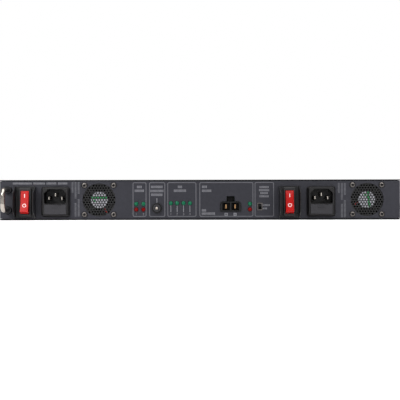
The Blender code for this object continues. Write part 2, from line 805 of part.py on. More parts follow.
def fan_frame(number, x):
    """A square fan frame with a round bore, corner holes and the motor plate on four arms."""
    front = PANEL_INSIDE + GRILLE_SHEET + 2 * GAP
    back = front + FAN_DEPTH
    bm = bmesh.new()
    outer = rounded_rectangle(x, MID_HEIGHT, FAN_SIZE, FAN_SIZE, 3.5, 3)
    prism(bm, outer, front, back)
    frame = finish(bm, f"fan_frame_{number}", black_plastic(f"fan_frame_{number}_plastic"))
    bore = bmesh.new()
    before = front - OVERSHOOT
    behind = back + OVERSHOOT
    prism(bore, circle(x, MID_HEIGHT, FAN_BORE, CIRCLE), before, behind)
    for u, v in fan_corners(x):
        prism(bore, circle(u, v, SCREW_HOLE, SMALL_CIRCLE), before, behind)
    cut(frame, bore)
    stator = bmesh.new()
    prism(stator, stator_outline(x), front + GAP, front + GAP + STATOR_SHEET)
    join(frame, stator)
    bearing = bmesh.new()
    radius, depth = BEARING
    prism(bearing, circle(x, MID_HEIGHT, radius, SMALL_CIRCLE), front + radius, front + depth)
    cut(frame, bearing)


def fan_rotor(number, x):
    """The hub with its stub shaft and twisted blades, turning on the fan's axis."""
    front = PANEL_INSIDE + GRILLE_SHEET + 3 * GAP + STATOR_SHEET
    start = front + ROTOR_PLAY
    end = start + ROTOR_LENGTH
    pivot = (x, start, MID_HEIGHT)
    bm = bmesh.new()
    shaft, reach = ROTOR_STUB
    stub = start - reach
    profile = [(0, stub), (shaft, stub), (shaft, start), (STATOR_RADIUS, start)]
    profile += [(STATOR_RADIUS, end - 1), (STATOR_RADIUS - 1, end), (0, end)]
    turned(bm, profile, x, MID_HEIGHT, 28)
    material = black_plastic(f"rotor_{number}_plastic")
    rotor = finish(bm, f"fan_rotor_{number}", material, pivot, smooth=True)
    blades = bmesh.new()
    middle = (start + end) / 2
    for i in range(BLADES):
        fan_blade(blades, x, middle, math.tau * i / BLADES)
    join(rotor, blades)


def fan_blade(bm, x, middle, angle):
    """One blade from inside the hub to the tip, flatter towards the tip."""
    outward = Vector((math.cos(angle), 0, math.sin(angle)))
    around = Vector((-outward.z, 0, outward.x))
    axis = Vector((0, 1, 0))
    rings = []
    for radius, pitch, chord in BLADE_STATIONS:
        lean = math.radians(pitch)
        along = axis * math.cos(lean) + around * math.sin(lean)
        across = (axis * -math.sin(lean) + around * math.cos(lean)) * BLADE_HALF_THICKNESS
        half = along * chord / 2
        centre = Vector((x, middle, MID_HEIGHT)) + outward * radius
        corners = (-half - across, half - across, half + across, -half + across)
        rings.append([bm.verts.new(centre + corner) for corner in corners])
    faces = [bm.faces.new(rings[0]), bm.faces.new(rings[-1])]
    for ring, following in zip(rings, rings[1:]):
        for i in range(4):
            j = (i + 1) % 4
            faces.append(bm.faces.new((ring[i], ring[j], following[j], following[i])))
    bmesh.ops.recalc_face_normals(bm, faces=faces)


def fan_screws(number, x):
    """Four pan-head screws through the panel and grille into the fan's corners."""
    head, height = SCREW_HEAD
    shank, length = SCREW_SHANK
    for corner, (u, v) in enumerate(fan_corners(x), start=1):
        profile = [(0, ON_PANEL - height), (head * 0.55, ON_PANEL - height)]
        profile += [(head * 0.9, ON_PANEL - height * 0.55), (head, ON_PANEL)]
        profile += [(shank, ON_PANEL), (shank, ON_PANEL + length), (0, ON_PANEL + length)]
        bm = bmesh.new()
        turned(bm, profile, u, v, SMALL_CIRCLE)
        name = f"fan_{number}_screw_{corner}"
        finish(bm, name, zinc(f"{name}_zinc"), smooth=True)


# ---------------------------------------------------------------- controls

def indicators():
    """Each LED stands through its own hole, with a flange behind the panel."""
    flange = PANEL_INSIDE + LED_FLANGE
    radius = LED_RADIUS
    rim = radius + LED_FLANGE / 2
    board = BOARD_FACE - LED_FLANGE
    dome = [(0, ON_PANEL - 1.3), (radius * 0.55, ON_PANEL - 1.0), (radius * 0.9, ON_PANEL - 0.3)]
    base = [(radius, ON_PANEL + 0.5), (radius, flange), (rim, flange)]
    base += [(rim, flange + LED_FLANGE), (radius, flange + LED_FLANGE), (radius, board), (0, board)]
    for name, (x, z) in LEDS.items():
        bm = bmesh.new()
        turned(bm, dome + base, x, z, SMALL_CIRCLE)
        lens = red_lens if "red" in name else green_lens
        finish(bm, name, lens(f"{name}_lens"), smooth=True)


def mute_button():
    """A threaded bushing in the panel and the plunger that slides in it."""
    x, z = BUTTON
    back = ON_PANEL + BUSHING_DEPTH
    profile = [(BUSHING_BORE, ON_PANEL - 3.9), (BUSHING_BARREL - 0.6, ON_PANEL - 3.9)]
    profile += [(BUSHING_BARREL, ON_PANEL - 3.3), (BUSHING_BARREL, ON_PANEL - 2.2)]
    profile += [(BUSHING_NUT - 0.65, ON_PANEL - 2.2), (BUSHING_NUT, ON_PANEL - 1.6)]
    profile += [(BUSHING_NUT, ON_PANEL), (BUSHING_BARREL, ON_PANEL)]
    profile += [(BUSHING_BARREL, back), (BUSHING_BORE, back)]
    bm = bmesh.new()
    turned(bm, profile, x, z, 20)
    finish(bm, "button_bushing", black_plastic("bushing_plastic"), smooth=True)
    tip = ON_PANEL - PLUNGER_PROUD
    collar = back + 0.5
    end = BOARD_FACE - 3
    stem = PLUNGER_RADIUS
    profile = [(0, tip), (1.0, tip + 0.3), (stem, tip + 1.2), (stem, collar), (3.0, collar)]
    profile += [(3.0, collar + 1), (stem, collar + 1), (stem, end), (0, end)]
    bm = bmesh.new()
    turned(bm, profile, x, z, 16)
    finish(bm, "button_plunger", nickel("plunger_nickel"), (x, tip, z), smooth=True)


def source_switch():
    """A slide switch: its frame behind the panel and the small slider in the slot."""
    x, z = SOURCE
    start = PANEL_INSIDE + GAP
    bm = bmesh.new()
    width, height, depth = SOURCE_FRAME
    prism(bm, rectangle(x, z, width, height), start, start + depth)
    frame = finish(bm, "source_switch_frame", zinc("source_frame_steel"))
    lip = bmesh.new()
    prism(lip, rectangle(x, z, *SOURCE_LIP), PANEL_FACE - 0.4, start + 1)
    join(frame, lip)
    hole = bmesh.new()
    prism(hole, rectangle(x, z, *SOURCE_SLOT), PANEL_FACE - 2, start + 5)
    cut(frame, hole)
    width, height = SLIDER
    rest = z + SOURCE_SLOT[1] / 2 - GAP - height / 2
    bm = bmesh.new()
    prism(bm, rectangle(x, rest, width, height), PANEL_FACE - 0.1, start + 4.5)
    finish(bm, "source_slider", black_plastic("slider_plastic"), (x, PANEL_FACE, rest))


# ---------------------------------------------------------------- low-voltage connectors

def socket_pair(cavities, posts, x, z, mouth, inward):
    """Two square sockets and the contact blade in each; inward is the sign of depth."""
    for side in (-1, 1):
        centre = x + side * SOCKET_PITCH / 2
        floor = mouth + inward * SOCKET_DEPTH
        prism(cavities, rectangle(centre, z, *SOCKET), mouth - inward, floor)
        tip = mouth + inward * CONTACT_SETBACK
        prism(posts, rectangle(centre, z, *CONTACT), tip, floor + inward)


def dc_input_connector():
    """The two-way input header with round shoulders and a latch bar above its sockets."""
    mouth = PANEL_FACE - DC_PROUD
    back = BOARD_FACE - 0.7
    bm = bmesh.new()
    prism(bm, dc_outline(), mouth, back)
    connector = finish(bm, "dc_input_connector", black_plastic("dc_input_plastic"))
    bar = bmesh.new()
    top = DC_BODY_Z + DC_BODY[1]
    half = LATCH[0] / 2 - 1
    near = (DC_IN_X - half, back - LATCH_BAR_DEPTH, top - OVERSHOOT)
    block(bar, near, (DC_IN_X + half, back, top + LATCH[1]))
    join(connector, bar)
    cavities = bmesh.new()
    posts = bmesh.new()
    socket_pair(cavities, posts, DC_IN_X, DC_BODY_Z + DC_BODY[1] / 2, mouth, 1)
    cut(connector, cavities)
    join(connector, posts)


def dc_output_block():
    """A row of output ports in one moulding, at the rack-ear end."""
    mouth = FAR_FACE + DC_PROUD
    width, height = OUTPUT_BLOCK
    bm = bmesh.new()
    prism(bm, rectangle(0, OUTPUT_Z, width, height), FAR_FACE - OUTPUT_DEPTH, mouth)
    ports = finish(bm, "dc_output_block", black_plastic("dc_output_plastic"))
    cavities = bmesh.new()
    posts = bmesh.new()
    for i in range(OUTPUT_PORTS):
        x = (i - (OUTPUT_PORTS - 1) / 2) * OUTPUT_PITCH
        floor = mouth - SOCKET_DEPTH
        prism(cavities, rectangle(x, OUTPUT_Z, *OUTPUT_CAVITY), floor, mouth + OVERSHOOT)
        for side in (-1, 1):
            centre = x + side * SOCKET_PITCH / 2
            tip = mouth - CONTACT_SETBACK
            prism(posts, rectangle(centre, OUTPUT_Z, *CONTACT), floor - OVERSHOOT, tip)
    cut(ports, cavities)
    join(ports, posts)


# ---------------------------------------------------------------- inside

def control_board():
    """The board that carries the indicators, button and source switch."""
    left, right, low, high = BOARD
    bm = bmesh.new()
    outline = rounded_rectangle((left + right) / 2, (low + high) / 2, right - left, high - low, 2, 2)
    prism(bm, outline, BOARD_FACE, BOARD_FACE + BOARD_SHEET)
    finish(bm, "control_board", board_laminate("board_laminate"))


def buzzer():
    """A round sounder on the back of the board, with its sound hole."""
    x, z = BUZZER
    start = BOARD_FACE + BOARD_SHEET + GAP
    radius, height = BUZZER_SIZE
    end = start + height
    profile = [(0, start), (radius - 0.5, start), (radius, start + 0.5)]
    profile += [(radius, end - 0.8), (radius - 0.8, end)]
    profile += [(1.2, end), (1.2, end - 2), (0, end - 2)]
    bm = bmesh.new()
    turned(bm, profile, x, z, 20)
    finish(bm, "buzzer", black_plastic("buzzer_plastic"), smooth=True)


def supply_module(number, x):
    """A mains-to-DC supply block with a finned top and four feet."""
    width, depth, height = MODULE_SIZE
    low = PANEL_LOW + MODULE_LIFT
    top = low + height
    half = width / 2
    bm = bmesh.new()
    block(bm, (x - half, -depth / 2, low), (x + half, depth / 2, top))
    module = finish(bm, f"supply_module_{number}", zinc(f"module_{number}_aluminium"))
    grooves = bmesh.new()
    groove, sink = GROOVE
    reach = depth / 2 - sink
    for i in range(-5, 6):
        u = x + GROOVE_PITCH * i
        near = (u - groove / 2, -reach, top - sink)
        block(grooves, near, (u + groove / 2, reach, top + OVERSHOOT))
    cut(module, grooves)
    feet = bmesh.new()
    for i in (-1, 1):
        for j in (-1, 1):
            u = x + i * (half - FOOT)
            v = j * (depth / 2 - FOOT)
            side = FOOT / 2
            block(feet, (u - side, v - side, PANEL_LOW), (u + side, v + side, low + OVERSHOOT))
    join(module, feet)


# ---------------------------------------------------------------- whole object

def clear_scene():
    """Remove whatever the file opens with."""
    for leftover in list(bpy.data.objects):
        bpy.data.objects.remove(leftover, do_unlink=True)


def build():
    """Make every piece of the unit."""
    clear_scene()
    base_tray()
    connector_panel()
    far_panel()
    top_cover()
    rack_ears()
    pull_handle()
    for number, x in enumerate(SWITCH_X, start=1):
        switch_guard(number, x)
        switch_housing(number, x)
        rocker(number, x)
    for number, x in enumerate(INLET_X, start=1):
        inlet_body(number, x)
        inlet_pins(number, x)
        fuse_drawer(number, x)
    for number, x in enumerate(FAN_X, start=1):
        fan_grille(number, x)
        fan_frame(number, x)
        fan_rotor(number, x)
        fan_screws(number, x)
    indicators()
    mute_button()
    source_switch()
    dc_input_connector()
    dc_output_block()
    control_board()
    buzzer()
    for number, x in enumerate(MODULE_X, start=1):
        supply_module(number, x)


build()
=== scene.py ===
"""Visual model of a one-unit rackmount power unit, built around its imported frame.

Lengths are in metres, written as millimetres times MM. The connector panel faces -Y, +X is to the
right as one looks at it, and +Z is up. Pieces take their places from the frame's own nodes; only
the printing and a few offsets from a node are given as sizes of their own.
"""

import logging
import math
from contextlib import contextmanager
from dataclasses import dataclass
from enum import Enum
from typing import Any, Callable, Iterator, Sequence

import bmesh
import bpy
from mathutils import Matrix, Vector


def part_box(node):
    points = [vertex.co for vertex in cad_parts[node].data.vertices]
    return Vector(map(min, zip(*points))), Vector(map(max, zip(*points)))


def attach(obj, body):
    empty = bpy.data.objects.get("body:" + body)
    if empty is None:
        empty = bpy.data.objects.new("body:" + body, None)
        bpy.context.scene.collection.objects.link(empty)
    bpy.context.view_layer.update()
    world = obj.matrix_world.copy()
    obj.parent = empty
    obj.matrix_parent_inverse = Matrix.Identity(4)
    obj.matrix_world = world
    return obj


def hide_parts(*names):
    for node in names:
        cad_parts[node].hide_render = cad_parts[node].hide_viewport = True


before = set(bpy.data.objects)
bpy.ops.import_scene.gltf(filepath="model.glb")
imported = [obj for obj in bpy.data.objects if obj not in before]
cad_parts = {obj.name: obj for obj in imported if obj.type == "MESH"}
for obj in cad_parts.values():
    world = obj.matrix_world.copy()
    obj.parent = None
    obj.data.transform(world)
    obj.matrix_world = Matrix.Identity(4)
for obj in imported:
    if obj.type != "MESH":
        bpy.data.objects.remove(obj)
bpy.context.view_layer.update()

LOG = logging.getLogger("power_unit")
MM = 0.001
CHASSIS = "chassis"
OUTWARD = Vector((0, -1, 0))  # out of the connector panel
WELD = 0.001 * MM  # corners closer than this are one
CAPITAL = 0.7  # a capital's height as a share of the font's size
COAT_ROUGHNESS = 0.08
SIDES = ((-1, "left"), (1, "right"))  # way along X, and name
PORTS = 4
PORT_PITCH = 25  # millimetres between the output ports

Piece = bpy.types.Object
Test = Callable[[Vector, Vector], bool]


# ------------------------------------------------------------------ workbench

@dataclass(frozen=True)
class Space:
    """The box that one frame node fills at rest."""

    low: Vector
    high: Vector

    @classmethod
    def of(cls, node: str) -> "Space":
        """The space of a named frame node.

        Args:
            node: name of the node.

        Returns:
            Its lowest and highest corners.
        """
        low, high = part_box(node)
        return cls(Vector(low), Vector(high))

    @property
    def centre(self) -> Vector:
        """Middle of the box."""
        return (self.low + self.high) / 2

    @property
    def size(self) -> Vector:
        """Edge lengths of the box."""
        return self.high - self.low


def clear_selection() -> None:
    """Leave edit mode and deselect everything."""
    active = bpy.context.view_layer.objects.active
    if active and active.mode != "OBJECT":
        bpy.ops.object.mode_set(mode="OBJECT")
    bpy.ops.object.select_all(action="DESELECT")


def activate(piece: Piece) -> None:
    """Make one piece the only selected and the active one."""
    clear_selection()
    piece.select_set(True)
    bpy.context.view_layer.objects.active = piece


@contextmanager
def editing(piece: Piece, mode: str = "FACE") -> Iterator[None]:
    """Work on a piece in edit mode.

    Args:
        piece: the piece to edit.
        mode: VERT, EDGE or FACE selection.
    """
    activate(piece)
    bpy.ops.object.mode_set(mode="EDIT")
    bpy.ops.mesh.select_mode(type=mode)
    yield
    bpy.ops.object.mode_set(mode="OBJECT")


def pick_edges(piece: Piece, test: Test) -> None:
    """Select the edges whose centre and direction pass a test, in edit mode."""
    mesh = bmesh.from_edit_mesh(piece.data)
    for face in mesh.faces:
        face.select_set(False)
    for edge in mesh.edges:
        start, end = (corner.co for corner in edge.verts)
        edge.select_set(test((start + end) / 2, (end - start).normalized()))
    bmesh.update_edit_mesh(piece.data)


def settle(piece: Piece) -> None:
    """Move a piece's place, turn and size into its mesh."""
    activate(piece)
    bpy.ops.object.transform_apply(location=True, rotation=True, scale=True)


def block(name: str, low: Sequence[float], high: Sequence[float]) -> Piece:
    """A box between two corners, ready to be shaped.

    Args:
        name: the piece's name.
        low: lowest corner.
        high: highest corner.

    Returns:
        The new piece.
    """
    clear_selection()
    low = Vector(low)
    high = Vector(high)
    bpy.ops.mesh.primitive_cube_add(size=1, location=(low + high) / 2)
    piece = bpy.context.object
    piece.name = name
    piece.scale = high - low
    settle(piece)
    return piece


def turned(name: str, base: Vector, outward: Vector, steps: Sequence[tuple[float, float]],
           sides: int = 32) -> Piece:
    """A turned solid: a filled circle extruded and resized step by step along its axis.

    Args:
        name: the piece's name.
        base: where the rise is nought, on the axis.
        outward: direction of the axis.
        steps: (radius, rise) pairs from one end to the other; a rise may go back into a bore.
        sides: number of sides.

    Returns:
        The new piece.
    """
    clear_selection()
    radius, rise = steps[0]
    turn = outward.to_track_quat("Z", "Y").to_euler()
    bpy.ops.mesh.primitive_circle_add(vertices=sides, radius=radius, fill_type="NGON",
                                      location=base + outward * rise, rotation=turn)
    piece = bpy.context.object
    piece.name = name
    settle(piece)
    with editing(piece):
        bpy.ops.mesh.select_all(action="SELECT")
        for (radius, rise), (wider, higher) in zip(steps, steps[1:]):
            move = outward * (higher - rise)
            bpy.ops.mesh.extrude_region_move(TRANSFORM_OT_translate={"value": move})
            growth = wider / radius
            bpy.ops.transform.resize(value=(growth,) * 3, center_override=base + outward * higher)
        bpy.ops.mesh.select_all(action="SELECT")
        bpy.ops.mesh.normals_make_consistent(inside=False)
    return piece


def rod(name: str, path: Sequence[Vector], radius: float, sides: int = 16) -> Piece:
    """A round rod or wire along a smooth path, as a closed mesh.

    Args:
        name: the piece's name.
        path: points along its middle.
        radius: the rod's radius.
        sides: sides of its section, a multiple of four.

    Returns:
        The new piece.
    """
    line = bpy.data.curves.new(name, "CURVE")
    line.dimensions = "3D"
    line.bevel_depth = radius
    line.bevel_resolution = sides // 2 - 2
    line.use_fill_caps = True
    spline = line.splines.new("POLY")
    spline.points.add(len(path) - 1)
    for point, place in zip(spline.points, path):
        point.co = (*place, 1)
    piece = bpy.data.objects.new(name, line)
    bpy.context.scene.collection.objects.link(piece)
    activate(piece)
    bpy.ops.object.convert(target="MESH")
    with editing(piece, "VERT"):
        bpy.ops.mesh.select_all(action="SELECT")
        bpy.ops.mesh.remove_doubles(threshold=WELD)
        bpy.ops.mesh.normals_make_consistent(inside=False)
    return piece


def figure(name: str, text: str, place: Vector, height: float, depth: float,
           turn: float = 0.0) -> Piece:
    """A printed figure standing on a panel.

    Args:
        name: the piece's name.
        text: one generic sign, such as a digit.
        place: its centre.
        height: height of the sign.
        depth: thickness of the ink.
        turn: nought on the connector panel, half a turn on the far one, in radians.

    Returns:
        The new piece.
    """
    clear_selection()
    bpy.ops.object.text_add(rotation=(math.pi / 2, 0, turn))
    piece = bpy.context.object
    piece.name = name
    piece.data.body = text
    piece.data.align_x = "CENTER"
    piece.data.align_y = "CENTER"
    piece.data.size = height / CAPITAL
    piece.data.extrude = depth / 2
    piece.data.resolution_u = 3
    bpy.ops.object.convert(target="MESH")
    piece.location = place
    settle(piece)
    with editing(piece, "VERT"):
        bpy.ops.mesh.select_all(action="SELECT")
        bpy.ops.mesh.remove_doubles(threshold=WELD)
        bpy.ops.mesh.normals_make_consistent(inside=False)
    return piece


def change(piece: Piece, kind: str, **settings: Any) -> None:
    """Add a modifier with its settings and apply it.

    Args:
        piece: the piece to change.
        kind: the modifier's type, such as BEVEL.
        settings: its properties.
    """
    modifier = piece.modifiers.new(kind.lower(), kind)
    for name, value in settings.items():
        setattr(modifier, name, value)
    activate(piece)
    bpy.ops.object.modifier_apply(modifier=modifier.name)


def soften(piece: Piece, width: float, segments: int = 2, angle: float = 35) -> None:
    """Round off the edges sharper than an angle in degrees."""
    change(piece, "BEVEL", width=width, segments=segments, limit_method="ANGLE",
           angle_limit=math.radians(angle), use_clamp_overlap=True, miter_outer="MITER_ARC")


def join(name: str, pieces: Sequence[Piece]) -> Piece:
    """Join pieces into one mesh of separate shells.

    Args:
        name: the joined piece's name.
        pieces: what to join.

    Returns:
        The joined piece.
    """
    clear_selection()
    for piece in pieces:
        piece.select_set(True)
    bpy.context.view_layer.objects.active = pieces[0]
    if len(pieces) > 1:
        bpy.ops.object.join()
    pieces[0].name = name
    return pieces[0]


def carve(piece: Piece, tools: Sequence[Piece], operation: str = "DIFFERENCE") -> None:
    """Cut tools out of a piece, or weld them to it, and remove the tools.

    Args:
        piece: the piece to change.
        tools: closed shapes that don't overlap each other.
        operation: DIFFERENCE, UNION or INTERSECT.
    """
    tool = join("carving_tool", tools)
    change(piece, "BOOLEAN", object=tool, operation=operation, solver="EXACT")
    bpy.data.objects.remove(tool, do_unlink=True)


def worked_copy(node: str, name: str) -> Piece:
    """A frame node's shape as a clean mesh, ready for rounded edges.

    Args:
        node: the frame node.
        name: name of the new piece.

    Returns:
        The copy, with its corners merged and its flat faces made whole.
    """
    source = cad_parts[node]
    piece = source.copy()
    piece.data = source.data.copy()
    piece.parent = None
    piece.name = name
    piece.data.materials.clear()
    bpy.context.scene.collection.objects.link(piece)
    with editing(piece, "VERT"):
        bpy.ops.mesh.select_all(action="SELECT")
        bpy.ops.mesh.customdata_custom_splitnormals_clear()
        bpy.ops.mesh.remove_doubles(threshold=0.005 * MM)
        bpy.ops.mesh.dissolve_limited(angle_limit=math.radians(0.5))
        bpy.ops.mesh.quads_convert_to_tris(quad_method="BEAUTY", ngon_method="BEAUTY")
        bpy.ops.mesh.normals_make_consistent(inside=False)
    return piece


# ------------------------------------------------------------------ finishes

def linear(colour: str) -> tuple[float, float, float, float]:
    """An sRGB hex colour as linear red, green, blue and alpha.

    Args:
        colour: a hex colour such as #808080.

    Returns:
        The linear colour, opaque.
    """
    shares = [int(colour[i:i + 2], 16) / 255 for i in (1, 3, 5)]
    curve = [s / 12.92 if s <= 0.04045 else ((s + 0.055) / 1.055) ** 2.4 for s in shares]
    return (*curve, 1.0)


def add_node(tree: bpy.types.NodeTree, kind: str, inputs: dict[Any, Any] | None = None,
             **settings: Any) -> bpy.types.Node:
    """Add a shader node with its settings, constants and links.

    Args:
        tree: the material's node tree.
        kind: the node's type name without the ShaderNode prefix.
        inputs: socket name or number to a constant or to the socket that feeds it.
        settings: the node's own properties.

    Returns:
        The new node.
    """
    node = tree.nodes.new(f"ShaderNode{kind}")
    for name, value in settings.items():
        setattr(node, name, value)
    for socket, value in (inputs or {}).items():
        if isinstance(value, bpy.types.NodeSocket):
            tree.links.new(value, node.inputs[socket])
        else:
            node.inputs[socket].default_value = value
    return node


@dataclass(frozen=True)
class Finish:
    """What a surface is made of and how it was made.

    Attributes:
        name: the material's common name and its making.
        colour: main colour, sRGB hex.
        second: the colour that the mottling drifts towards, sRGB hex.
        roughness: middle of the roughness range.
        spread: how far roughness drifts either way.
        metallic: 1 for bare metal, else 0.
        ior: index of refraction; metals keep the default.
        grain: size of the surface texture in metres.
        relief: height of the surface texture in metres.
        patch: size of the colour's drift in metres.
        stretch: how much longer the grain is along each axis, for brushed or drawn metal.
        coat: weight of a clear glossy layer.
        specular: strength of the plain reflection.
        clear: share of the light that passes through.
    """

    name: str
    colour: str
    second: str
    roughness: float
    spread: float = 0.05
    metallic: float = 0.0
    ior: float = 1.5
    grain: float = 0.5 * MM
    relief: float = 0.01 * MM
    patch: float = 12 * MM
    stretch: tuple[float, float, float] = (1, 1, 1)
    coat: float = 0.0
    specular: float = 0.5
    clear: float = 0.0

    def pattern(self, tree: bpy.types.NodeTree, size: float, detail: float) -> bpy.types.NodeSocket:
        """A noise pattern with features of a real size, fixed to the piece.

        Args:
            tree: the material's node tree.
            size: feature size in metres.
            detail: levels of finer noise.

        Returns:
            The socket that carries the pattern, from 0 to 1.
        """
        place = add_node(tree, "TexCoord")
        scale = [1 / s for s in self.stretch]
        mapping = add_node(tree, "Mapping", {"Vector": place.outputs["Object"], "Scale": scale})
        noise = add_node(tree, "TexNoise", {"Vector": mapping.outputs["Vector"],
                                            "Scale": 1 / size, "Detail": detail})
        return noise.outputs["Fac"]

    def material(self) -> bpy.types.Material:
        """The finish as a node material, made once.

        Returns:
            The material.
        """
        made = bpy.data.materials.get(self.name)
        if made:
            return made
        made = bpy.data.materials.new(self.name)
        made.use_nodes = True
        tree = made.node_tree
        shader = tree.nodes["Principled BSDF"]
        shader.inputs["Metallic"].default_value = self.metallic
        shader.inputs["IOR"].default_value = self.ior
        shader.inputs["Coat Weight"].default_value = self.coat
        shader.inputs["Coat Roughness"].default_value = COAT_ROUGHNESS
        shader.inputs["Specular IOR Level"].default_value = self.specular
        shader.inputs["Transmission Weight"].default_value = self.clear
        drift = self.pattern(tree, self.patch, 3)
        blend = add_node(tree, "Mix", {0: drift, 6: linear(self.colour), 7: linear(self.second)},
                         data_type="RGBA")
        tree.links.new(blend.outputs[2], shader.inputs["Base Color"])
        texture = self.pattern(tree, self.grain, 2)
        gloss = add_node(tree, "MapRange", {"Value": texture,
                                            "To Min": self.roughness - self.spread,
                                            "To Max": self.roughness + self.spread})
        tree.links.new(gloss.outputs["Result"], shader.inputs["Roughness"])
        bump = add_node(tree, "Bump", {"Height": texture, "Distance": self.relief, "Strength": 1.0})
        tree.links.new(bump.outputs["Normal"], shader.inputs["Normal"])
        return made


class Finishes:
    """Every finish on the unit."""

    # Polyester powder, baked on sheet steel: a fine orange peel that breaks up the light. Its
    # colour drifts a little from place to place, as a thin coat's does.
    PANEL = Finish("powder_coat_charcoal", "#2a2a30", "#323239", 0.50, 0.08, grain=0.7 * MM,
                   relief=0.020 * MM, patch=3 * MM, specular=0.2)
    CASE = Finish("powder_coat_black", "#121216", "#17171b", 0.48, 0.08, grain=0.7 * MM,
                  relief=0.020 * MM, patch=9 * MM, specular=0.14)
    GUARD = Finish("powder_coat_guard", "#0e0e11", "#131316", 0.36, 0.08, grain=0.7 * MM,
                   relief=0.014 * MM, patch=6 * MM, specular=0.3)
    # Moulded nylon: half dull from a spark-eroded mould. Such a texture is about 0.1 mm as a rule
    # and is drawn three to five times as coarse, so that it shows.
    NYLON = Finish("moulded_nylon_black", "#1b1a1c", "#212022", 0.45, 0.08, grain=0.35 * MM,
                   relief=0.012 * MM, patch=5 * MM, specular=0.35)
    NYLON_INLET = Finish("moulded_nylon_black_dull", "#141314", "#1a191a", 0.48, 0.08,
                         grain=0.35 * MM, relief=0.012 * MM, patch=5 * MM, specular=0.3)
    NYLON_GREY = Finish("moulded_nylon_grey", "#29282c", "#333236", 0.5, 0.08, grain=0.5 * MM,
                        relief=0.03 * MM, patch=2 * MM, specular=0.3)
    NYLON_DARK = Finish("moulded_nylon_jet", "#0f0f10", "#141415", 0.5, 0.08, grain=0.35 * MM,
                        relief=0.01 * MM, patch=5 * MM, specular=0.25)
    # Polycarbonate from a polished mould: deep red under a soft clear gloss.
    ROCKER = Finish("polished_polycarbonate_red", "#a60806", "#b40f0b", 0.30, 0.03, ior=1.58,
                    grain=2 * MM, relief=0.004 * MM, patch=8 * MM, coat=0.15, specular=0.18)
    # White filling in a moulded recess: flat and slightly pink from the red round it.
    MARK = Finish("filled_mark_white", "#f3dedd", "#efd2d0", 0.4, 0.04, grain=0.3 * MM,
                  relief=0.004 * MM, patch=1 * MM)
    # Cast epoxy lenses, tinted through.
    LENS_GREEN = Finish("cast_epoxy_green", "#06543a", "#0a6444", 0.20, 0.04, ior=1.53,
                        grain=1.5 * MM, relief=0.003 * MM, patch=1.5 * MM, specular=0.2)
    LENS_RED = Finish("cast_epoxy_red", "#620202", "#740505", 0.20, 0.04, ior=1.53,
                      grain=1.5 * MM, relief=0.003 * MM, patch=1.5 * MM, specular=0.1)
    # Nickel over polished steel rod: soft mirror reflections, slightly drawn out along the rod.
    NICKEL = Finish("polished_nickel_rod", "#bcb4ac", "#aea69e", 0.18, 0.04, metallic=1.0,
                    grain=0.6 * MM, relief=0.002 * MM, patch=8 * MM, stretch=(1, 8, 8))
    # Zinc plate on screws: dulled, with slightly brown patches.
    ZINC = Finish("zinc_plate_dull", "#7f7a78", "#635e5a", 0.36, 0.1, metallic=1.0,
                  grain=0.4 * MM, relief=0.006 * MM, patch=1.2 * MM)
    # Steel blackened in hot oxide: near black, with a low satin gleam.
    BLACKENED = Finish("black_oxide_steel", "#2a2a2c", "#343436", 0.38, 0.06, metallic=1.0,
                       grain=0.3 * MM, relief=0.004 * MM, patch=2 * MM)
    # Tin plate on blades, fuse caps and wire: bright and warm, with small soft patches.
    TIN = Finish("tin_plate_bright", "#cbc4bc", "#b4ada4", 0.26, 0.06, metallic=1.0,
                 grain=0.4 * MM, relief=0.003 * MM, patch=1.5 * MM)
    # Stamped brass: yellow metal that drifts to brown where it has tarnished.
    BRASS = Finish("stamped_brass", "#c0a27c", "#96683e", 0.32, 0.08, metallic=1.0,
                   grain=0.4 * MM, relief=0.004 * MM, patch=1.5 * MM)
    # Anodised aluminium on the supply modules: satin, with fine streaks from end to end.
    ALUMINIUM = Finish("anodised_aluminium", "#a9aaac", "#9c9da0", 0.36, 0.08, metallic=1.0,
                       grain=0.5 * MM, relief=0.006 * MM, patch=20 * MM, stretch=(1, 14, 1))
    # Punched sheet under thin black lacquer.
    MESH = Finish("punched_sheet_black", "#19191a", "#202021", 0.44, 0.08, grain=0.4 * MM,
                  relief=0.006 * MM, patch=3 * MM, specular=0.3)
    # Dull dark pad with a cloudy texture, drawn as 0.5 mm tufts: painted shade that stands for the
    # dark inside of the unit behind the cooling slots.
    FILTER = Finish("painted_shade_pad", "#141415", "#1e1e20", 0.95, 0.03, grain=0.5 * MM,
                    relief=0.15 * MM, patch=4 * MM)
    # Screen ink: dull and a little uneven where the screen laid it thin.
    INK = Finish("screen_ink_grey", "#505056", "#5a5a60", 0.6, 0.06, grain=0.3 * MM,
                 relief=0.004 * MM, patch=2 * MM)
    INK_LIGHT = Finish("screen_ink_light", "#77777d", "#6a6a70", 0.6, 0.06, grain=0.3 * MM,
                       relief=0.004 * MM, patch=1.2 * MM)
    # Printed foil label: silver with a satin sheen, and green ink that lies flat on it.
    LABEL = Finish("foil_label_silver", "#b4b4ba", "#a2a2aa", 0.40, 0.08, metallic=1.0,
                   grain=0.5 * MM, relief=0.004 * MM, patch=3 * MM)
    LABEL_GREEN = Finish("label_ink_green", "#0c8a46", "#109a50", 0.5, 0.05, grain=0.5 * MM,
                         relief=0.002 * MM, patch=2 * MM)
    # PVC sleeve drawn over a wire: smooth, with a low gloss.
    WIRE_RED = Finish("wire_sleeve_red", "#a01a1a", "#b42222", 0.35, 0.05, grain=0.8 * MM,
                      relief=0.004 * MM, patch=3 * MM)
    # Glass laminate under green lacquer: slightly wavy gloss.
    LAMINATE = Finish("solder_mask_green", "#1d4b30", "#24563a", 0.35, 0.06, grain=0.8 * MM,
                      relief=0.01 * MM, patch=6 * MM)
    # Drawn glass: clear with a faint green cast.
    GLASS = Finish("drawn_glass_tube", "#eaf2ee", "#dfeae5", 0.06, 0.02, ior=1.5, grain=3 * MM,
                   relief=0.001 * MM, patch=6 * MM, clear=0.92)
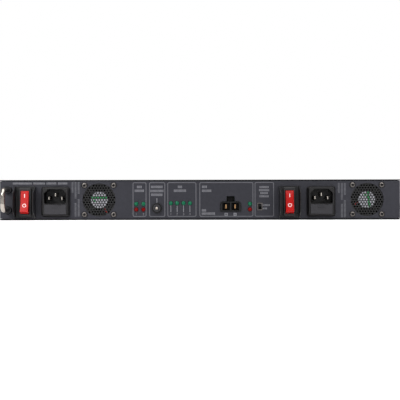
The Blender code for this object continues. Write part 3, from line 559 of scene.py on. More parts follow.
    # Background paper: even, dull white.
    FLOOR = Finish("studio_paper_white", "#ffffff", "#fdfdfd", 0.9, 0.02, grain=2 * MM,
                   relief=0.005 * MM, patch=300 * MM)


def commit(piece: Piece, finish: Finish, body: str = CHASSIS,
           stands_for: Sequence[str] = (), smooth: float = 32) -> Piece:
    """Finish a piece: place into mesh, shading, material, and its place in the frame.

    Args:
        piece: the finished shape.
        finish: its finish.
        body: the body it moves with.
        stands_for: frame nodes that it replaces.
        smooth: edges sharper than this many degrees stay sharp.

    Returns:
        The same piece.
    """
    settle(piece)
    bpy.ops.object.shade_smooth_by_angle(angle=math.radians(smooth))
    change(piece, "WEIGHTED_NORMAL", mode="FACE_AREA", keep_sharp=True)
    piece.data.materials.clear()
    piece.data.materials.append(finish.material())
    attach(piece, body)
    if stands_for:
        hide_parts(*stands_for)
    LOG.info("%s: %d faces, rides on %s", piece.name, len(piece.data.polygons), body)
    return piece


def dress(node: str, finish: Finish) -> None:
    """Give a frame node that stays in view a finish."""
    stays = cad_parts[node]
    for slot in stays.material_slots:
        slot.material = finish.material()
    LOG.info("%s: dressed in %s", node, finish.name)


# ------------------------------------------------------------------ chassis

@dataclass
class Chassis:
    """The folded case: panels, tray, cover, rack ears and the screws that hold them.

    Attributes:
        edge: radius of a coated sheet edge.
        screw: radius of a countersunk case screw's head.
        crown: height of such a head over its seat.
        sink: how far a lid screw's seat lies under the lid's face.
        lid_inset: from the lid's side to its screws.
        lid_shares: where the lid's screws stand, as shares of its depth.
        ear_leg: from the inner face of an ear's leg out to where its screws sit.
        ear_setback: from the ear's middle to its screws, towards the connector panel.
        ear_rows: heights of the ear's screws.
        bed: how deep an ear's screw beds in its leg.
        sheet: thickness of the tray and the lid.
        pad_reach: inner and outer side of a dark shade pad, from the middle.
        pad_gap: from the output panel's outer face to a pad.
        pad_depth: thickness of a pad.
        pad_edge: radius of a pad's edges.
    """

    edge: float = 0.35 * MM
    screw: float = 3.0 * MM
    crown: float = 0.28 * MM
    sink: float = 0.4 * MM
    lid_inset: float = 7 * MM
    lid_shares: tuple[float, ...] = (0.08, 0.5, 0.92)
    ear_leg: float = 2.0 * MM
    ear_setback: float = 4 * MM
    ear_rows: tuple[float, ...] = (13 * MM, 31 * MM)
    bed: float = 0.02 * MM
    sheet: float = 1.2 * MM
    pad_reach: tuple[float, float] = (84 * MM, 194 * MM)
    pad_gap: float = 1.5 * MM
    pad_depth: float = 2.5 * MM
    pad_edge: float = 0.8 * MM

    def build(self) -> None:
        """Build and dress the whole case."""
        self.build_panel()
        self.build_cover()
        self.build_tray()
        self.build_far_panel()
        self.build_ears()
        self.build_screws()
        self.build_filters()

    def coated_sheet(self, node: str, finish: Finish) -> Piece:
        """A sheet piece whose edges are rounded by its powder coat.

        Args:
            node: the frame node that it stands for.
            finish: its finish.

        Returns:
            The finished piece.
        """
        piece = worked_copy(node, f"{node}_coated")
        soften(piece, self.edge)
        return commit(piece, finish, stands_for=[node])

    def build_panel(self) -> None:
        """The connector panel, with every opening."""
        self.coated_sheet("connector_panel", Finishes.PANEL)

    def cover_screw_places(self) -> list[Vector]:
        """Where the lid's screws go, on its upper face."""
        cover = Space.of("top_cover")
        return [Vector((x, cover.low.y + share * cover.size.y, cover.high.z))
                for x in (cover.low.x + self.lid_inset, cover.high.x - self.lid_inset)
                for share in self.lid_shares]

    def build_cover(self) -> None:
        """The lid, with a dimple for each of its screws."""
        lid = worked_copy("top_cover", "top_cover_coated")
        up = Vector((0, 0, 1))
        deep = self.sink + 0.05 * MM
        carve(lid, [turned("dimple", place, up, [(self.screw * 1.02, -deep),
                                                 (self.screw * 1.25, 0.01 * MM),
                                                 (self.screw * 1.25, MM)], 32)
                    for place in self.cover_screw_places()])
        soften(lid, self.edge)
        commit(lid, Finishes.CASE, stands_for=["top_cover"])

    def build_tray(self) -> None:
        """The bottom with its side walls."""
        self.coated_sheet("base_tray", Finishes.CASE)

    def build_far_panel(self) -> None:
        """The panel at the output end."""
        self.coated_sheet("output_panel", Finishes.PANEL)

    def build_ears(self) -> None:
        """The rack ears."""
        for side in ("left", "right"):
            self.coated_sheet(f"rack_ear_{side}", Finishes.CASE)

    def build_filters(self) -> None:
        """A dark pad behind each group of cooling slots: painted shade that stands for the dark
        inside of the unit and keeps the white surroundings from showing through.
        """
        inside = Space.of("output_panel").high.y - self.pad_gap
        floor = Space.of("base_tray").low.z + self.sheet
        lid = Space.of("top_cover").high.z - self.sheet
        for side, label in SIDES:
            # Painted shade: each dark pad fills the view through the slots, where the inside is
            # only in shade.
            near, far = sorted(side * reach for reach in self.pad_reach)
            pad = block(f"shade_pad_{label}", (near, inside - self.pad_depth, floor),
                        (far, inside, lid))
            soften(pad, self.pad_edge)
            commit(pad, Finishes.FILTER)

    def countersunk(self, name: str, place: Vector, outward: Vector, radius: float) -> None:
        """A countersunk cross-recess screw whose head stands just proud of the sheet.

        Args:
            name: the piece's name.
            place: centre of the head on the sheet.
            outward: away from the sheet.
            radius: the head's radius.
        """
        steps = [(radius * 0.94, 0.0), (radius, 0.5 * self.crown), (radius * 0.82, self.crown)]
        head = turned(name, place, outward, steps, 24)
        slots = cross_recess(place + outward * self.crown, outward, radius * 1.1, 0.6 * MM,
                             self.crown * 0.8)
        carve(head, slots)
        commit(head, Finishes.ZINC)

    def build_screws(self) -> None:
        """Screws in the lid's dimples, and two through each ear's leg."""
        up = Vector((0, 0, 1))
        for number, place in enumerate(self.cover_screw_places(), start=1):
            self.countersunk(f"cover_screw_{number}", place - up * self.sink, up, self.screw)
        for side, label in SIDES:
            ear = Space.of(f"rack_ear_{label}")
            leg = ear.high.x if side < 0 else ear.low.x
            outer = leg + side * self.ear_leg
            for row, z in enumerate(self.ear_rows, start=1):
                place = Vector((outer - side * self.bed, ear.centre.y - self.ear_setback, z))
                self.countersunk(f"ear_{label}_screw_{row}", place, Vector((side, 0, 0)),
                                 self.screw)


def cross_recess(face: Vector, outward: Vector, length: float, width: float,
                 depth: float) -> list[Piece]:
    """The tool that cuts a cross-shaped driver recess.

    Args:
        face: centre of the screw's face.
        outward: away from the screw.
        length: length of each slot.
        width: width of each slot.
        depth: depth of the recess.

    Returns:
        One cross-shaped cutting tool, as a list.
    """
    across = Vector((0, 1, 0)) if abs(outward.x) > 0.5 else Vector((1, 0, 0))
    along = outward.cross(across)
    bars = []
    for first, second, deep in ((across, along, depth), (along, across, depth * 0.96)):
        reach = first * length / 2 + second * width / 2 + outward * deep
        half = Vector([abs(c) for c in reach])
        bars.append(block("cross_bar", face - half, face + half))
    carve(bars[0], bars[1:], "UNION")
    return bars[:1]


# ------------------------------------------------------------------ pull handle

@dataclass
class PullHandle:
    """The polished bow handle at the panel's left end.

    Attributes:
        rod_radius: radius of the bent rod.
        half_span: half the distance between its two legs.
        bend: radius of each bend at the rod's middle.
        steps: steps around each bend.
        sides: sides of the rod.
        ferrule: a ferrule's profile, as (radius, rise) pairs from the panel outwards.
    """

    rod_radius: float = 2.4 * MM
    half_span: float = 11.0 * MM
    bend: float = 7.0 * MM
    steps: int = 12
    sides: int = 32
    ferrule: tuple[tuple[float, float], ...] = (
        (2.45 * MM, 0), (4.3 * MM, 0), (4.5 * MM, 0.4 * MM), (4.5 * MM, 1.5 * MM),
        (4.0 * MM, 2.2 * MM), (2.45 * MM, 2.2 * MM))

    @property
    def root(self) -> Vector:
        """Middle of the rod's lower end."""
        space = Space.of("pull_handle")
        return Vector((space.centre.x, space.high.y, space.centre.z - self.half_span))

    def build(self) -> None:
        """Build and dress the rod and its two ferrules."""
        space = Space.of("pull_handle")
        x, foot, low = self.root
        front = space.low.y + self.rod_radius
        high = space.centre.z + self.half_span
        leg = foot - front - self.bend
        bow = turned("pull_handle_rod", Vector((x, foot, low)), OUTWARD,
                     [(self.rod_radius, 0), (self.rod_radius, leg)], self.sides)
        self.turn_bend(bow, Vector((x, front + self.bend, low + self.bend)), Vector((0, -1, 0)))
        self.push(bow, Vector((0, 0, 1)), high - low - 2 * self.bend)
        self.turn_bend(bow, Vector((x, front + self.bend, high - self.bend)), Vector((0, 0, 1)))
        self.push(bow, Vector((0, 1, 0)), leg)
        with editing(bow, "VERT"):
            bpy.ops.mesh.select_all(action="SELECT")
            bpy.ops.mesh.normals_make_consistent(inside=False)
        commit(bow, Finishes.NICKEL, stands_for=["pull_handle"], smooth=40)
        for number, z in enumerate((low, high), start=1):
            ferrule = turned(f"handle_ferrule_{number}", Vector((x, foot, z)), OUTWARD,
                             self.ferrule, self.sides)
            commit(ferrule, Finishes.BLACKENED)

    def push(self, bow: Piece, way: Vector, length: float) -> None:
        """Extrude the rod's leading face along a straight run."""
        with editing(bow):
            self.pick_tip(bow, way)
            bpy.ops.mesh.extrude_region_move(TRANSFORM_OT_translate={"value": way * length})

    def turn_bend(self, bow: Piece, centre: Vector, way: Vector) -> None:
        """Spin the rod's leading face a quarter turn about a centre, in the plane of the bow."""
        with editing(bow):
            self.pick_tip(bow, way)
            bpy.ops.mesh.spin(steps=self.steps, angle=math.pi / 2, center=centre, axis=(1, 0, 0))

    def pick_tip(self, bow: Piece, way: Vector) -> None:
        """Select the flat end face, square to a given way, that is furthest from the root."""
        mesh = bmesh.from_edit_mesh(bow.data)
        mesh.normal_update()
        ends = [f for f in mesh.faces if len(f.verts) > 4 and abs(f.normal.dot(way)) > 0.99]
        tip = max(ends, key=lambda f: (f.calc_center_median() - self.root).length)
        for face in mesh.faces:
            face.select_set(face is tip)
        bmesh.update_edit_mesh(bow.data)


# ------------------------------------------------------------------ rocker switches

class Sign(Enum):
    """The sign filled into each half of a rocker."""

    ON = "on"
    OFF = "off"


@dataclass
class SwitchStation:
    """A guarded rocker switch.

    Attributes:
        number: 1 at the left, 2 at the right.
        tilt: angle of the rocker at rest, in degrees.
        rise: how far the rocker's ends stand before its pivot.
        dip: how far its middle does.
        half: half of the rocker's length.
        bar_share: how far up its half the on bar stands, from the crease.
        ring_share: how far down its half the off ring stands.
        sink: how deep a sign reaches into the rocker.
        proud: how far it stands out.
        bar: half width and half height of the on bar.
        ring: outer and inner radius of the off ring.
        plate: thickness of the guard's plate.
        rivets: where the rivets stand from the housing's middle, in X and Z.
    """

    number: int
    tilt: float = 12.5
    rise: float = 4.6 * MM
    dip: float = 3.4 * MM
    half: float = 11.6 * MM
    bar_share: float = 0.56
    ring_share: float = 0.38
    sink: float = 0.25 * MM
    proud: float = 0.04 * MM
    bar: tuple[float, float] = (0.45 * MM, 2.0 * MM)
    ring: tuple[float, float] = (2.15 * MM, 1.45 * MM)
    plate: float = 1.2 * MM
    rivets: tuple[tuple[float, float], ...] = ((-8.7 * MM, 12.8 * MM), (8.5 * MM, -12.7 * MM))

    def build(self) -> None:
        """Build and dress the guard, the housing, the rocker and its signs."""
        guard_node = f"switch_guard_{self.number}"
        guard = worked_copy(guard_node, f"{guard_node}_coated")
        soften(guard, 0.4 * MM)
        commit(guard, Finishes.GUARD, stands_for=[guard_node])
        housing_node = f"switch_housing_{self.number}"
        housing = worked_copy(housing_node, f"switch_bezel_{self.number}")
        soften(housing, 0.25 * MM)
        commit(housing, Finishes.NYLON, stands_for=[housing_node])
        self.build_rocker()
        self.build_sign(Sign.ON)
        self.build_sign(Sign.OFF)
        self.build_rivets()

    @property
    def body(self) -> str:
        """The rocker's body."""
        return f"rocker_body_{self.number}"

    def build_rocker(self) -> None:
        """The rocker, with soft edges."""
        rocker = worked_copy(f"rocker_{self.number}", f"rocker_{self.number}_moulded")
        soften(rocker, 0.45 * MM, 3, 20)
        commit(rocker, Finishes.ROCKER, self.body, [f"rocker_{self.number}"])

    def face_frame(self, upper: bool) -> tuple[Vector, Vector, Vector]:
        """Where one half of the rocker's face lies.

        Args:
            upper: True for the upper half.

        Returns:
            The middle of that half, its outward normal and its upward direction.
        """
        housing = Space.of(f"switch_housing_{self.number}")
        pivot = Vector((housing.centre.x, housing.low.y + 1.0 * MM, housing.centre.z))
        lean = math.radians(self.tilt)
        way = 1 if upper else -1

        def leaned(out: float, up: float) -> Vector:
            """A point of the rocker's profile after it leans."""
            return Vector((0, -(out * math.cos(lean) - up * math.sin(lean)),
                           up * math.cos(lean) + out * math.sin(lean)))

        inner = leaned(self.dip, 0)
        outer = leaned(self.rise, way * self.half)
        up = (outer - inner).normalized() * way
        normal = Vector((1, 0, 0)).cross(up)
        share = self.bar_share if upper else self.ring_share
        return pivot + inner.lerp(outer, share), normal, up

    def build_sign(self, sign: Sign) -> None:
        """Fill the on bar or the off ring into its half of the rocker."""
        middle, normal, up = self.face_frame(sign is Sign.ON)
        name = f"rocker_{self.number}_{sign.value}_sign"
        if sign is Sign.ON:
            wide, high = self.bar
            mark = block(name, (-wide, -self.proud, -high), (wide, self.sink, high))
            soften(mark, 0.02 * MM, 1)
        else:
            outer, inner = self.ring
            mark = turned(name, Vector((0, self.sink, 0)), OUTWARD,
                          [(outer, 0), (outer, self.sink + self.proud)], 40)
            carve(mark, [turned("sign_bore", Vector((0, 2 * self.sink, 0)), OUTWARD,
                                [(inner, 0), (inner, 4 * self.sink)], 40)])
        mark.rotation_euler = (math.atan2(up.y, up.z) * -1, 0, 0)
        mark.location = middle
        commit(mark, Finishes.MARK, self.body)

    def build_rivets(self) -> None:
        """Two small rivets that hold the guard, at opposite corners of the bezel."""
        housing = Space.of(f"switch_housing_{self.number}")
        plate = Space.of(f"switch_guard_{self.number}").high.y - self.plate
        for row, (dx, dz) in enumerate(self.rivets, start=1):
            place = Vector((housing.centre.x + dx, plate, housing.centre.z + dz))
            rivet = turned(f"guard_{self.number}_rivet_{row}", place, OUTWARD,
                           [(1.05 * MM, -0.2 * MM), (1.05 * MM, 0.15 * MM), (0.8 * MM, 0.45 * MM),
                            (0.35 * MM, 0.55 * MM)], 20)
            commit(rivet, Finishes.NYLON_DARK)


# ------------------------------------------------------------------ mains inlets

@dataclass
class MainsInlet:
    """A mains inlet with its blades, its fuse drawer and the fuse.

    Attributes:
        number: 1 at the left, 2 at the right.
        cap_length: length of a fuse's end cap.
        cap_radius: radius of a fuse's end cap.
    """

    number: int
    cap_length: float = 5.0 * MM
    cap_radius: float = 2.6 * MM

    @property
    def body(self) -> str:
        """The drawer's body."""
        return f"fuse_drawer_body_{self.number}"

    def build(self) -> None:
        """Build and dress the moulding, the blades, the drawer and the fuse."""
        moulding = worked_copy(f"inlet_body_{self.number}", f"inlet_moulding_{self.number}")
        soften(moulding, 0.24 * MM, 3, 25)
        commit(moulding, Finishes.NYLON_INLET,
               stands_for=[f"inlet_body_{self.number}"])
        for role in ("line", "neutral", "earth"):
            blade = worked_copy(f"{role}_pin_{self.number}", f"{role}_blade_{self.number}")
            soften(blade, 0.25 * MM)
            commit(blade, Finishes.TIN, stands_for=[f"{role}_pin_{self.number}"])
        self.build_drawer()
        self.build_fuse()

    def build_drawer(self) -> None:
        """The drawer, with a notch to lever it out and fine ribs on its tab."""
        node = f"fuse_drawer_{self.number}"
        space = Space.of(node)
        drawer = worked_copy(node, f"fuse_holder_{self.number}")
        front = space.low.y + 0.6 * MM
        top = space.high.z
        x = space.centre.x
        notch = block("notch", (x + 4.6 * MM, front - MM, top - 1.1 * MM),
                      (x + 6.8 * MM, front + 1.2 * MM, top + MM))
        ribs = [block("rib", (x - 3.2 * MM, space.low.y - MM, z - 0.12 * MM),
                      (x + 3.2 * MM, space.low.y + 0.2 * MM, z + 0.12 * MM))
                for z in (top - 2.9 * MM, top - 2.2 * MM, top - 1.5 * MM)]
        carve(drawer, [notch, *ribs])
        soften(drawer, 0.22 * MM)
        commit(drawer, Finishes.NYLON_GREY, self.body, [node])

    def build_fuse(self) -> None:
        """The glass tube, its wire and its two caps, lying across the drawer."""
        node = f"fuse_{self.number}"
        space = Space.of(node)
        along = Vector((1, 0, 0))
        start = Vector((space.low.x, space.centre.y, space.centre.z))
        length = space.size.x
        shell = self.cap_radius - 0.25 * MM
        tube = turned(f"fuse_{self.number}_tube", start, along,
                      [(shell * 0.9, 0.6 * MM), (shell, MM), (shell, length - MM),
                       (shell * 0.9, length - 0.6 * MM)], 24)
        commit(tube, Finishes.GLASS, self.body, [node])
        wire = turned(f"fuse_{self.number}_wire", start, along,
                      [(0.22 * MM, 2 * MM), (0.3 * MM, length / 2),
                       (0.22 * MM, length - 2 * MM)], 8)
        commit(wire, Finishes.TIN, self.body)
        for row, base in enumerate((0, length - self.cap_length), start=1):
            cap = turned(f"fuse_{self.number}_cap_{row}", start + along * base, along,
                         [(self.cap_radius * 0.9, 0), (self.cap_radius, 0.3 * MM),
                          (self.cap_radius, self.cap_length - 0.3 * MM),
                          (self.cap_radius * 0.93, self.cap_length)], 24)
            commit(cap, Finishes.TIN, self.body)


# ------------------------------------------------------------------ fans

@dataclass
class FanUnit:
    """A 40 mm fan behind its perforated sheet.

    Attributes:
        number: 1 at the left, 2 at the right.
        stripe_turn: direction of the label's stripe, in degrees from level.
        stripe_shift: where the stripe lies from the hub's middle, in X and Z.
        dab_shift: where the label's small dab lies from the hub's middle.
        wire: start and end of the red lead from the hub's middle, in X and Z.
        pitch: distance between the sheet's holes; the real 2 mm rows are drawn coarser, so that
            the holes show.
        hole: radius of a hole.
        opening: radius that is perforated.
        thinning: how much thinner the sheet is than the space it has.
        corner_hole: radius of the holes that the screws pass.
        screw_half: half the side of the square that the screws stand on.
        label_radius: radius of the motor plate's label.
        stripe_half: half the width of its stripe.
        dab_radius: radius of its dab.
        screw_height: height of a pan head.
    """

    number: int
    stripe_turn: float
    stripe_shift: tuple[float, float]
    dab_shift: tuple[float, float]
    wire: tuple[tuple[float, float], tuple[float, float]]
    pitch: float = 3.0 * MM
    hole: float = 1.12 * MM
    opening: float = 18.0 * MM
    thinning: float = 0.25 * MM
    corner_hole: float = 1.8 * MM
    screw_half: float = 16 * MM
    label_radius: float = 9.1 * MM
    stripe_half: float = 1.3 * MM
    dab_radius: float = 1.6 * MM
    screw_height: float = 1.6 * MM

    def build(self) -> None:
        """Build and dress the sheet, the frame, the rotor, the label, the lead and the screws."""
        self.build_grille()
        frame_node = f"fan_frame_{self.number}"
        housing = worked_copy(frame_node, f"fan_housing_{self.number}")
        soften(housing, 0.2 * MM)
        commit(housing, Finishes.NYLON_DARK, stands_for=[frame_node])
        dress(f"fan_rotor_{self.number}", Finishes.NYLON_DARK)
        self.build_label()
        self.build_lead()
        self.build_screws()

    @property
    def hub(self) -> Vector:
        """Middle of the motor plate's front."""
        space = Space.of(f"fan_frame_{self.number}")
        return Vector((space.centre.x, space.low.y + 0.3 * MM, space.centre.z))

    def build_grille(self) -> None:
        """The punched sheet, with staggered rows of fine holes."""
        node = f"fan_grille_{self.number}"
        space = Space.of(node)
        sheet = block(f"fan_mesh_{self.number}", space.low,
                      space.high - Vector((0, self.thinning, 0)))
        punch = turned("punch", Vector((0, space.high.y + MM, 0)), OUTWARD,
                       [(self.hole, 0), (self.hole, space.size.y + 2 * MM)], 10)
        rise = self.pitch * math.sqrt(3) / 2
        reach = int(self.opening / rise) + 1
        places = []
        for row in range(-reach, reach + 1):
            for column in range(-reach, reach + 1):
                u = (column + 0.5 * (row % 2)) * self.pitch
                v = row * rise
                if math.hypot(u, v) < self.opening - self.hole:
                    places.append(space.centre + Vector((u, 0, v)))
        corner = turned("corner_punch", Vector((0, space.high.y + MM, 0)), OUTWARD,
                        [(self.corner_hole, 0), (self.corner_hole, space.size.y + 2 * MM)], 16)
        punches = scattered(punch, [Vector((p.x, 0, p.z)) for p in places])
        corners = scattered(corner, [Vector((p.x, 0, p.z)) for p in self.corners()])
        carve(sheet, punches + corners)
        commit(sheet, Finishes.MESH, stands_for=[node])

    def corners(self) -> list[Vector]:
        """The four screw places on the panel."""
        middle = Space.of(f"fan_frame_{self.number}").centre
        return [middle + Vector((i * self.screw_half, 0, j * self.screw_half))
                for i in (-1, 1) for j in (-1, 1)]

    def build_label(self) -> None:
        """The foil label on the motor plate, with its printed stripe and dab."""
        hub = self.hub
        radius = self.label_radius
        label = turned(f"fan_{self.number}_label", hub, OUTWARD,
                       [(radius, -0.05 * MM), (radius, 0.06 * MM)], 48)
        commit(label, Finishes.LABEL)
        turn = math.radians(self.stripe_turn)
        shift = Vector((self.stripe_shift[0], 0, self.stripe_shift[1]))
        stripe = block(f"fan_{self.number}_stripe",
                       (-2 * radius, -0.1 * MM, -self.stripe_half),
                       (2 * radius, -0.02 * MM, self.stripe_half))
        stripe.rotation_euler = (0, -turn, 0)
        stripe.location = hub + shift
        settle(stripe)
        change(stripe, "BOOLEAN", operation="INTERSECT", solver="EXACT",
               object=self.disc("label_outline", radius * 0.99, hub))
        bpy.data.objects.remove(bpy.data.objects["label_outline"], do_unlink=True)
        commit(stripe, Finishes.LABEL_GREEN)
        dab = turned(f"fan_{self.number}_dab",
                     hub + Vector((self.dab_shift[0], 0, self.dab_shift[1])), OUTWARD,
                     [(self.dab_radius, 0.02 * MM), (self.dab_radius, 0.1 * MM)], 5)
        commit(dab, Finishes.LABEL_GREEN)

    def disc(self, name: str, radius: float, middle: Vector) -> Piece:
        """A thick disc for trimming what is printed on the label."""
        return turned(name, middle, OUTWARD, [(radius, -MM), (radius, MM)], 48)

    def build_lead(self) -> None:
        """The red lead from the motor plate to the frame's wall."""
        hub = self.hub
        (start_x, start_z), (end_x, end_z) = self.wire
        start = hub + Vector((start_x, 0.75 * MM, start_z))
        end = hub + Vector((end_x, 0.65 * MM, end_z))
        across = Vector((end.z - start.z, 0, start.x - end.x)).normalized() * 0.5 * MM
        steps = 10
        path = [start.lerp(end, i / steps) + across * math.sin(math.pi * i / steps)
                for i in range(steps + 1)]
        lead = rod(f"fan_{self.number}_lead", path, 0.6 * MM, 12)
        commit(lead, Finishes.WIRE_RED, smooth=60)

    def build_screws(self) -> None:
        """Four pan-head screws with cross recesses; a dark fill in each recess and a black ring
        under each head are painted shade.
        """
        for corner in range(1, 5):
            node = f"fan_{self.number}_screw_{corner}"
            space = Space.of(node)
            height = self.screw_height
            seat = Vector((space.centre.x, space.low.y + height, space.centre.z))
            radius = space.size.x / 2
            steps = [(1.45 * MM, -(space.high.y - seat.y)), (1.45 * MM, 0), (radius, 0),
                     (radius, 0.3 * MM), (radius * 0.94, 0.8 * MM), (radius * 0.78, 1.25 * MM),
                     (radius * 0.5, 1.52 * MM), (radius * 0.25, height)]
            screw = turned(f"fan_{self.number}_pan_screw_{corner}", seat, OUTWARD, steps, 28)
            top = seat + OUTWARD * height
            cone = turned("recess_cone", top - OUTWARD * 1.7 * MM, OUTWARD,
                          [(1.2 * MM, 0), (1.5 * MM, 1.5 * MM), (1.6 * MM, 2.2 * MM)], 24)
            carve(screw, [cone])
            commit(screw, Finishes.ZINC, stands_for=[node])
            # Painted shade: a dark fill in the recess stands for the shade inside it.
            floor = top - OUTWARD * 1.75 * MM
            shade_plug = turned(f"fan_{self.number}_screw_recess_{corner}", floor, OUTWARD,
                          [(1.25 * MM, 0), (1.5 * MM, 1.0 * MM), (1.3 * MM, 1.25 * MM)], 24)
            carve(shade_plug, cross_recess(floor + OUTWARD * 1.25 * MM, OUTWARD, 2.2 * MM, 0.7 * MM, MM))
            commit(shade_plug, Finishes.NYLON_DARK)
            # Painted shade: a black ring under the head stands for the dark shade round it.
            shade_washer = turned(f"fan_{self.number}_washer_{corner}", seat, OUTWARD,
                            [(radius + 0.5 * MM, 0), (radius + 0.65 * MM, 0.1 * MM),
                             (radius + 0.65 * MM, 0.2 * MM), (radius + 0.5 * MM, 0.32 * MM)], 32)
            carve(shade_washer, [turned("washer_bore", seat, OUTWARD,
                                  [(1.5 * MM, -MM), (1.5 * MM, MM)], 24)])
            commit(shade_washer, Finishes.BLACKENED)


def scattered(template: Piece, places: Sequence[Vector]) -> list[Piece]:
    """Copies of one shape at many places, each with its own mesh; the template is used up.

    Args:
        template: the shape, at the origin.
        places: where each copy goes.

    Returns:
        The copies.
    """
    copies = []
    for place in places:
        twin = template.copy()
        twin.data = template.data.copy()
        twin.location = place
        bpy.context.scene.collection.objects.link(twin)
        copies.append(twin)
    bpy.data.objects.remove(template, do_unlink=True)
    return copies


# ------------------------------------------------------------------ lamps and controls

@dataclass
class StatusLamps:
    """The ten lamps that stand through the panel.

    Attributes:
        dome: how far a lens stands before its rim.
        radius: radius of a lens.
        rounds: steps of its dome.
    """

    dome: float = 1.3 * MM
    radius: float = 2.2 * MM
    rounds: int = 7

    def build(self) -> None:
        """Build and dress each lens in its colour."""
        for node in sorted(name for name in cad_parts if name.endswith("_led")):
            space = Space.of(node)
            base = Vector((space.centre.x, space.high.y, space.centre.z))
            shoulder = space.size.y - self.dome
            steps = [(self.radius, 0.0), (self.radius, shoulder)]
            for i in range(1, self.rounds):
                angle = math.pi / 2 * i / self.rounds
                steps.append((self.radius * math.cos(angle),
                              shoulder + self.dome * math.sin(angle)))
            lens = turned(f"{node}_lens", base, OUTWARD, steps, 28)
            red = "red" in node
            commit(lens, Finishes.LENS_RED if red else Finishes.LENS_GREEN,
                   stands_for=[node], smooth=50)


@dataclass
class MuteButton:
    """The sounder's push button: a black bushing with its nut, and a bright plunger.

    Attributes:
        nut: radius of the round nut.
        barrel: radius of the bushing.
        bore: radius of the bushing's bore.
        stand: how far the bushing stands before the nut's seat.
        pin: radius of the plunger.
        tip: height of the plunger's dome.
        rounds: steps of the dome.
    """

    nut: float = 5.65 * MM
    barrel: float = 4.0 * MM
    bore: float = 2.0 * MM
    stand: float = 3.9 * MM
    pin: float = 1.65 * MM
    tip: float = 1.5 * MM
    rounds: int = 8

    def build(self) -> None:
        """Build and dress the bushing, its inner collar and the plunger."""
        space = Space.of("button_bushing")
        seat = Vector((space.centre.x, space.low.y + self.stand, space.centre.z))
        back = -(space.high.y - seat.y)
        ring = turned("button_nut", seat, OUTWARD,
                      [(self.barrel, back), (self.barrel, 0), (self.nut, 0), (self.nut, 1.3 * MM),
                       (self.nut - 0.25 * MM, 1.7 * MM), (self.nut - 0.7 * MM, 1.9 * MM),
                       (self.barrel + 0.05 * MM, 1.9 * MM)], 40)
        collar = turned("button_collar", seat, OUTWARD,
                        [(self.barrel, 1.5 * MM), (self.barrel, 3.3 * MM),
                         (self.barrel - 0.25 * MM, 3.7 * MM), (self.barrel - 0.8 * MM, self.stand),
                         (self.bore + 0.6 * MM, self.stand)], 40)
        for piece, finish in ((ring, Finishes.NYLON_DARK), (collar, Finishes.NYLON_GREY)):
            carve(piece, [turned("bore", seat, OUTWARD,
                                 [(self.bore, back - MM), (self.bore, 6 * MM)], 40)])
            stands_for = ["button_bushing"] if piece is ring else []
            commit(piece, finish, stands_for=stands_for)
        self.build_plunger()

    def build_plunger(self) -> None:
        """The plunger, with a domed bright tip."""
        space = Space.of("button_plunger")
        end = Vector((space.centre.x, space.low.y, space.centre.z))
        steps = [(self.pin, -space.size.y), (self.pin, -self.tip)]
        for i in range(1, self.rounds):
            angle = math.pi / 2 * i / self.rounds
            steps.append((self.pin * math.cos(angle), self.tip * (math.sin(angle) - 1)))
        plunger = turned("button_plunger_turned", end, OUTWARD, steps, 28)
        commit(plunger, Finishes.NICKEL, "mute_button_body",
               ["button_plunger"], 50)


@dataclass
class SourceSwitch:
    """The small slide switch that picks the supply.

    Attributes:
        window: half width and half height inside the rim's outer margin.
        margin: how far the rim reaches past that.
        rim: width of the rim, measured from the window inwards.
        groove: half the width of a grip groove.
        groove_pitch: distance between grooves.
        groove_depth: depth of a groove.
    """

    window: tuple[float, float] = (2.6 * MM, 3.85 * MM)
    margin: float = 0.1 * MM
    rim: float = 0.55 * MM
    groove: float = 0.15 * MM
    groove_pitch: float = 0.65 * MM
    groove_depth: float = 0.3 * MM

    def build(self) -> None:
        """Build and dress the casing, its bright rim and the slider."""
        self.build_casing()
        self.build_slider()

    def build_casing(self) -> None:
        """The casing in the panel, and the bright rim round its window."""
        casing = worked_copy("source_switch_frame", "source_switch_casing")
        soften(casing, 0.15 * MM)
        commit(casing, Finishes.NYLON_DARK, stands_for=["source_switch_frame"])
        space = Space.of("source_switch_frame")
        front = space.low.y
        half = Vector((self.window[0], 0, self.window[1]))
        low = Vector((space.centre.x, front - 0.08 * MM, space.centre.z)) - half
        high = Vector((space.centre.x, front + 0.45 * MM, space.centre.z)) + half
        margin = Vector((self.margin, 0, self.margin))
        rim = block("source_switch_rim", low - margin, high + margin)
        inset = Vector((self.rim, -MM, self.rim))
        carve(rim, [block("rim_inside", low + inset, high - inset)])
        soften(rim, 0.08 * MM, 1)
        commit(rim, Finishes.ZINC)

    def build_slider(self) -> None:
        """The slider, with its grip grooves."""
        space = Space.of("source_slider")
        slider = worked_copy("source_slider", "source_slider_moulded")
        middle = space.centre.z
        grooves = [block("groove", (space.low.x - MM, space.low.y - MM, z - self.groove),
                         (space.high.x + MM, space.low.y + self.groove_depth, z + self.groove))
                   for z in (middle - self.groove_pitch, middle, middle + self.groove_pitch)]
        carve(slider, grooves)
        soften(slider, 0.08 * MM, 1)
        commit(slider, Finishes.NYLON_DARK, "source_slider_body",
               ["source_slider"])


# ------------------------------------------------------------------ low-voltage connectors

